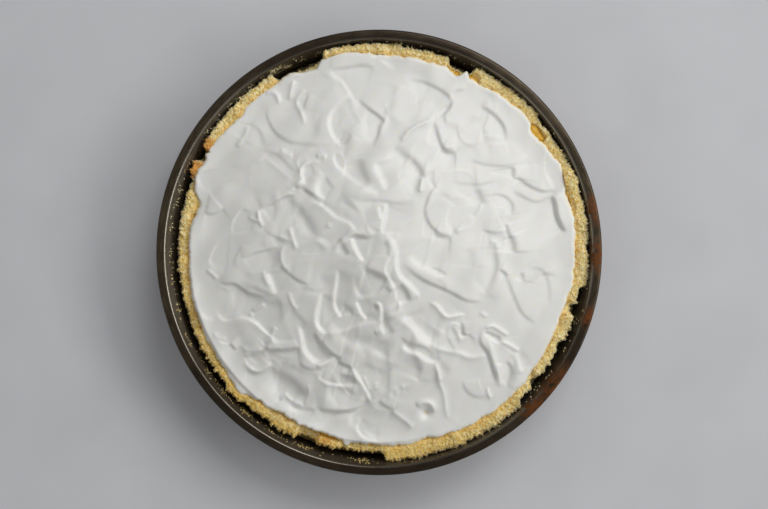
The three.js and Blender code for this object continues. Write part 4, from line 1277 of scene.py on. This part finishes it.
def crumbs_tree():
    """Scatters crumbs over a surface, more where its 'crumbs' value is high."""
    tree, given = new_geometry_tree("scattered_crumbs", {
        "Crumbs per square metre": ("Float", 1e5), "Crumb width": ("Float", .001),
        "Seed": ("Int", 1)})
    wanted = add(tree, "GeometryNodeInputNamedAttribute", {"Name": "crumbs"}, data_type="FLOAT")
    thick = add(tree, "ShaderNodeMath", {
        0: wanted, 1: given["Crumbs per square metre"]}, operation="MULTIPLY")
    spots = add(tree, "GeometryNodeDistributePointsOnFaces", {
        "Mesh": given["Geometry"], "Density": thick, "Seed": given["Seed"]})
    # A grain of eight faces, a little wider over its corners than the crumb's own width.
    half = add(tree, "ShaderNodeMath", {0: given["Crumb width"], 1: .58}, operation="MULTIPLY")
    crumb = add(tree, "GeometryNodeMeshUVSphere", {"Radius": half, "Segments": 4, "Rings": 2})
    tilt = add(tree, "FunctionNodeRandomValue", {
        "Max": (6.28, 6.28, 6.28), "Seed": given["Seed"]}, data_type="FLOAT_VECTOR")
    size = add(tree, "FunctionNodeRandomValue", {
        "Min": (.5, .3, .2), "Max": (1.6, .8, .6),
        "Seed": given["Seed"]}, data_type="FLOAT_VECTOR")
    placed = add(tree, "GeometryNodeInstanceOnPoints", {
        "Points": spots, "Instance": crumb, "Rotation": tilt, "Scale": size})
    real = add(tree, "GeometryNodeRealizeInstances", {"Geometry": placed})
    place = add(tree, "GeometryNodeInputPosition")
    rough = add(tree, "ShaderNodeTexNoise", {
        "Vector": place, "Scale": per_mm(.6), "Detail": 1.0})
    middle = add(tree, "ShaderNodeVectorMath", {
        0: rough.outputs["Color"], 1: (.5, .5, .5)}, operation="SUBTRACT")
    push = add(tree, "ShaderNodeVectorMath", {
        0: middle, "Scale": given["Crumb width"]}, operation="SCALE")
    lumpy = add(tree, "GeometryNodeSetPosition", {"Geometry": real, "Offset": push})
    dressed = add(tree, "GeometryNodeSetMaterial", {
        "Geometry": lumpy, "Material": given["Material"]})
    add(tree, "NodeGroupOutput", {0: dressed})
    return tree


def grown(name, source, tree, inputs):
    """The plain mesh that a Geometry Nodes tree makes of the source, which is removed."""
    modifier = source.modifiers.new("Grow", "NODES")
    modifier.node_group = tree
    sockets = {item.name: item.identifier for item in tree.interface.items_tree
               if item.item_type == "SOCKET" and item.in_out == "INPUT"}
    for socket, value in inputs.items():
        modifier[sockets[socket]] = value
    seen = source.evaluated_get(bpy.context.evaluated_depsgraph_get())
    mesh = bpy.data.meshes.new_from_object(seen)
    source.modifiers.clear()
    bpy.data.objects.remove(source)
    mesh.name = name
    return put_in_scene(name, mesh)


def face_outwards(piece):
    """Turns every face round if the closed mesh is inside out."""
    mesh = piece.data
    mesh.calc_loop_triangles()
    corners = np.empty(len(mesh.loop_triangles) * 3, np.int32)
    mesh.loop_triangles.foreach_get("vertices", corners)
    a, b, c = points_of(mesh)[corners.reshape(-1, 3)].transpose(1, 0, 2)
    if np.einsum("ij,ij->i", a, np.cross(b, c)).sum() < 0:
        mesh.flip_normals()


def make_tin(material):
    section = tin_section()
    points = [(r, 0, z) for r, z in section]
    seed = make_piece("tin_section", points, [], None)
    tin = grown("tin_seasoned", seed, turned_tree(),
                {"Sectors": TIN_SECTORS, "Section points": len(section), "Material": material})
    face_outwards(tin)
    return tin


# Crumbs stuck to the tin's wall: middle and half width in degrees, how thickly.
WALL_CRUMBS = [
    (0, 9, 1.2), (18, 9, 1), (45, 14, .8), (80, 9, 1.4), (97, 8, .8), (114, 8, 2),
    (135, 14, 2.2), (165, 10, .8), (185, 12, .6), (207, 10, .7), (222, 8, .9),
    (240, 9, 1.3), (262, 9, 1.4), (290, 12, .9), (318, 6, 1), (345, 8, .7),
]
# The crumbs lie between these heights, this far inside the wall, with a few everywhere.
WALL_CRUMBS_FROM = 24
WALL_CRUMBS_TO = 37
WALL_CRUMBS_INSIDE = 0.15
WALL_CRUMBS_EVERYWHERE = 0.1


def make_wall_crumbs(material, tree):
    """Loose crumbs left on the tin's wall above the crust."""
    degrees = np.arange(0, 360, 1.0)
    heights = np.linspace(WALL_CRUMBS_FROM, WALL_CRUMBS_TO, 9)
    angle, z = (grid.ravel() for grid in np.meshgrid(degrees, heights))
    points = round_points(wall_radius(z) - WALL_CRUMBS_INSIDE, z, angle)
    count = len(degrees)
    faces = [(k * count + i, k * count + (i + 1) % count, (k + 1) * count + (i + 1) % count,
              (k + 1) * count + i) for k in range(len(heights) - 1) for i in range(count)]
    wall = make_piece("wall_patch", points, faces, None)
    thick = WALL_CRUMBS_EVERYWHERE + 0 * angle
    for middle, half, amount in WALL_CRUMBS:
        thick += amount * bulge_share(angle, middle, half)
    clumps = smooth(.52, .8, lattice_noise(points, 4.5, 41))
    point_values(wall, "crumbs", thick * (.06 + clumps) * (1 - smooth(30, 38, z)))
    return grown("crumbs_on_tin", wall, tree,
                 {"Crumbs per square metre": 4e5, "Crumb width": .0011, "Seed": 3,
                  "Material": material})


def make_crust_crumbs(crust, material, tree):
    """Crumbs that stand on the crust's broken edge."""
    base = put_in_scene("crumb_base", crust.data.copy())
    points = points_of(base.data) / MM
    soaked, rim = values_of(base.data, "soaked"), values_of(base.data, "rim")
    clumps = smooth(.3, .7, lattice_noise(points, 2.4, 51))
    amount = .5 * (1 - soaked) * (.2 + clumps) + 1.8 * rim * (.3 + clumps)
    point_values(base, "crumbs", smooth(14, 24, points[:, 2]) * amount)
    return grown("crumbs_on_crust", base, tree,
                 {"Crumbs per square metre": 2e6, "Crumb width": .00105, "Seed": 8,
                  "Material": material})


# ---- the pie in its tin

pastry = baked_pastry("baked_shortcrust", False)
crumb_pastry = baked_pastry("shortcrust_crumbs", True)
tin = make_tin(seasoned_steel())
crust = make_crust(pastry)
filling = make_filling(set_curd())
meringue = make_meringue(whipped_meringue())
crumbs_shape = crumbs_tree()
crust_crumbs = make_crust_crumbs(crust, crumb_pastry, crumbs_shape)
wall_crumbs = make_wall_crumbs(crumb_pastry, crumbs_shape)

for piece, node, slot in [
        (tin, "tin", "tin_steel"), (crust, "crust", "pastry"),
        (filling, "lemon_filling", "lemon_curd"), (meringue, "meringue", "meringue_foam"),
        (crust_crumbs, "crust", "pastry"), (wall_crumbs, "crust", "pastry")]:
    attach(piece, "root")
    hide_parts(node)

# ---- floor, light and camera

TABLE_HALF = 3000
TABLE_TOP = -0.05
table_corners = [(x * TABLE_HALF, y * TABLE_HALF, TABLE_TOP)
                 for x, y in ((-1, -1), (1, -1), (1, 1), (-1, 1))]
floor = make_piece("tabletop", table_corners, [(0, 1, 2, 3)], painted_board())


def soft_light(name, azimuth, elevation, distance, width, height, watts, colour):
    """A softbox that faces the pie, placed by its angles in degrees and its distance in
    metres."""
    lamp = bpy.data.lights.new(name, "AREA")
    lamp.shape = "RECTANGLE"
    lamp.size = width
    lamp.size_y = height
    lamp.energy = watts
    lamp.color = linear(colour)[:3]
    made = put_in_scene(name, lamp)
    a, e = math.radians(azimuth), math.radians(elevation)
    made.location = (distance * math.cos(a) * math.cos(e), distance * math.sin(a) * math.cos(e),
                     distance * math.sin(e))
    made.rotation_euler = (math.pi / 2 - e, 0, a + math.pi / 2)


soft_light("key_softbox", 64, 47, 2.4, 1.1, 1.1, 16.5, "#ffffff")
soft_light("long_softbox", 14, 38, 2.4, 3.0, 0.7, 27, "#fffefa")

world = bpy.data.worlds.new("studio_room")
world.use_nodes = True
room = world.node_tree
fill(room, room.nodes["Background"], {"Color": linear("#f3f3f1"), "Strength": .33})
bpy.context.scene.world = world
bpy.context.scene.view_settings.view_transform = "Standard"

CAMERA_PLACE = (.00285, -.00122, .75)
CAMERA_LENS = 57.2
CAMERA_SENSOR = 36

lens = bpy.data.cameras.new("overhead")
lens.lens = CAMERA_LENS
lens.sensor_width = CAMERA_SENSOR
camera = put_in_scene("overhead", lens)
camera.location = CAMERA_PLACE
bpy.context.scene.camera = camera

bpy.context.view_layer.update()
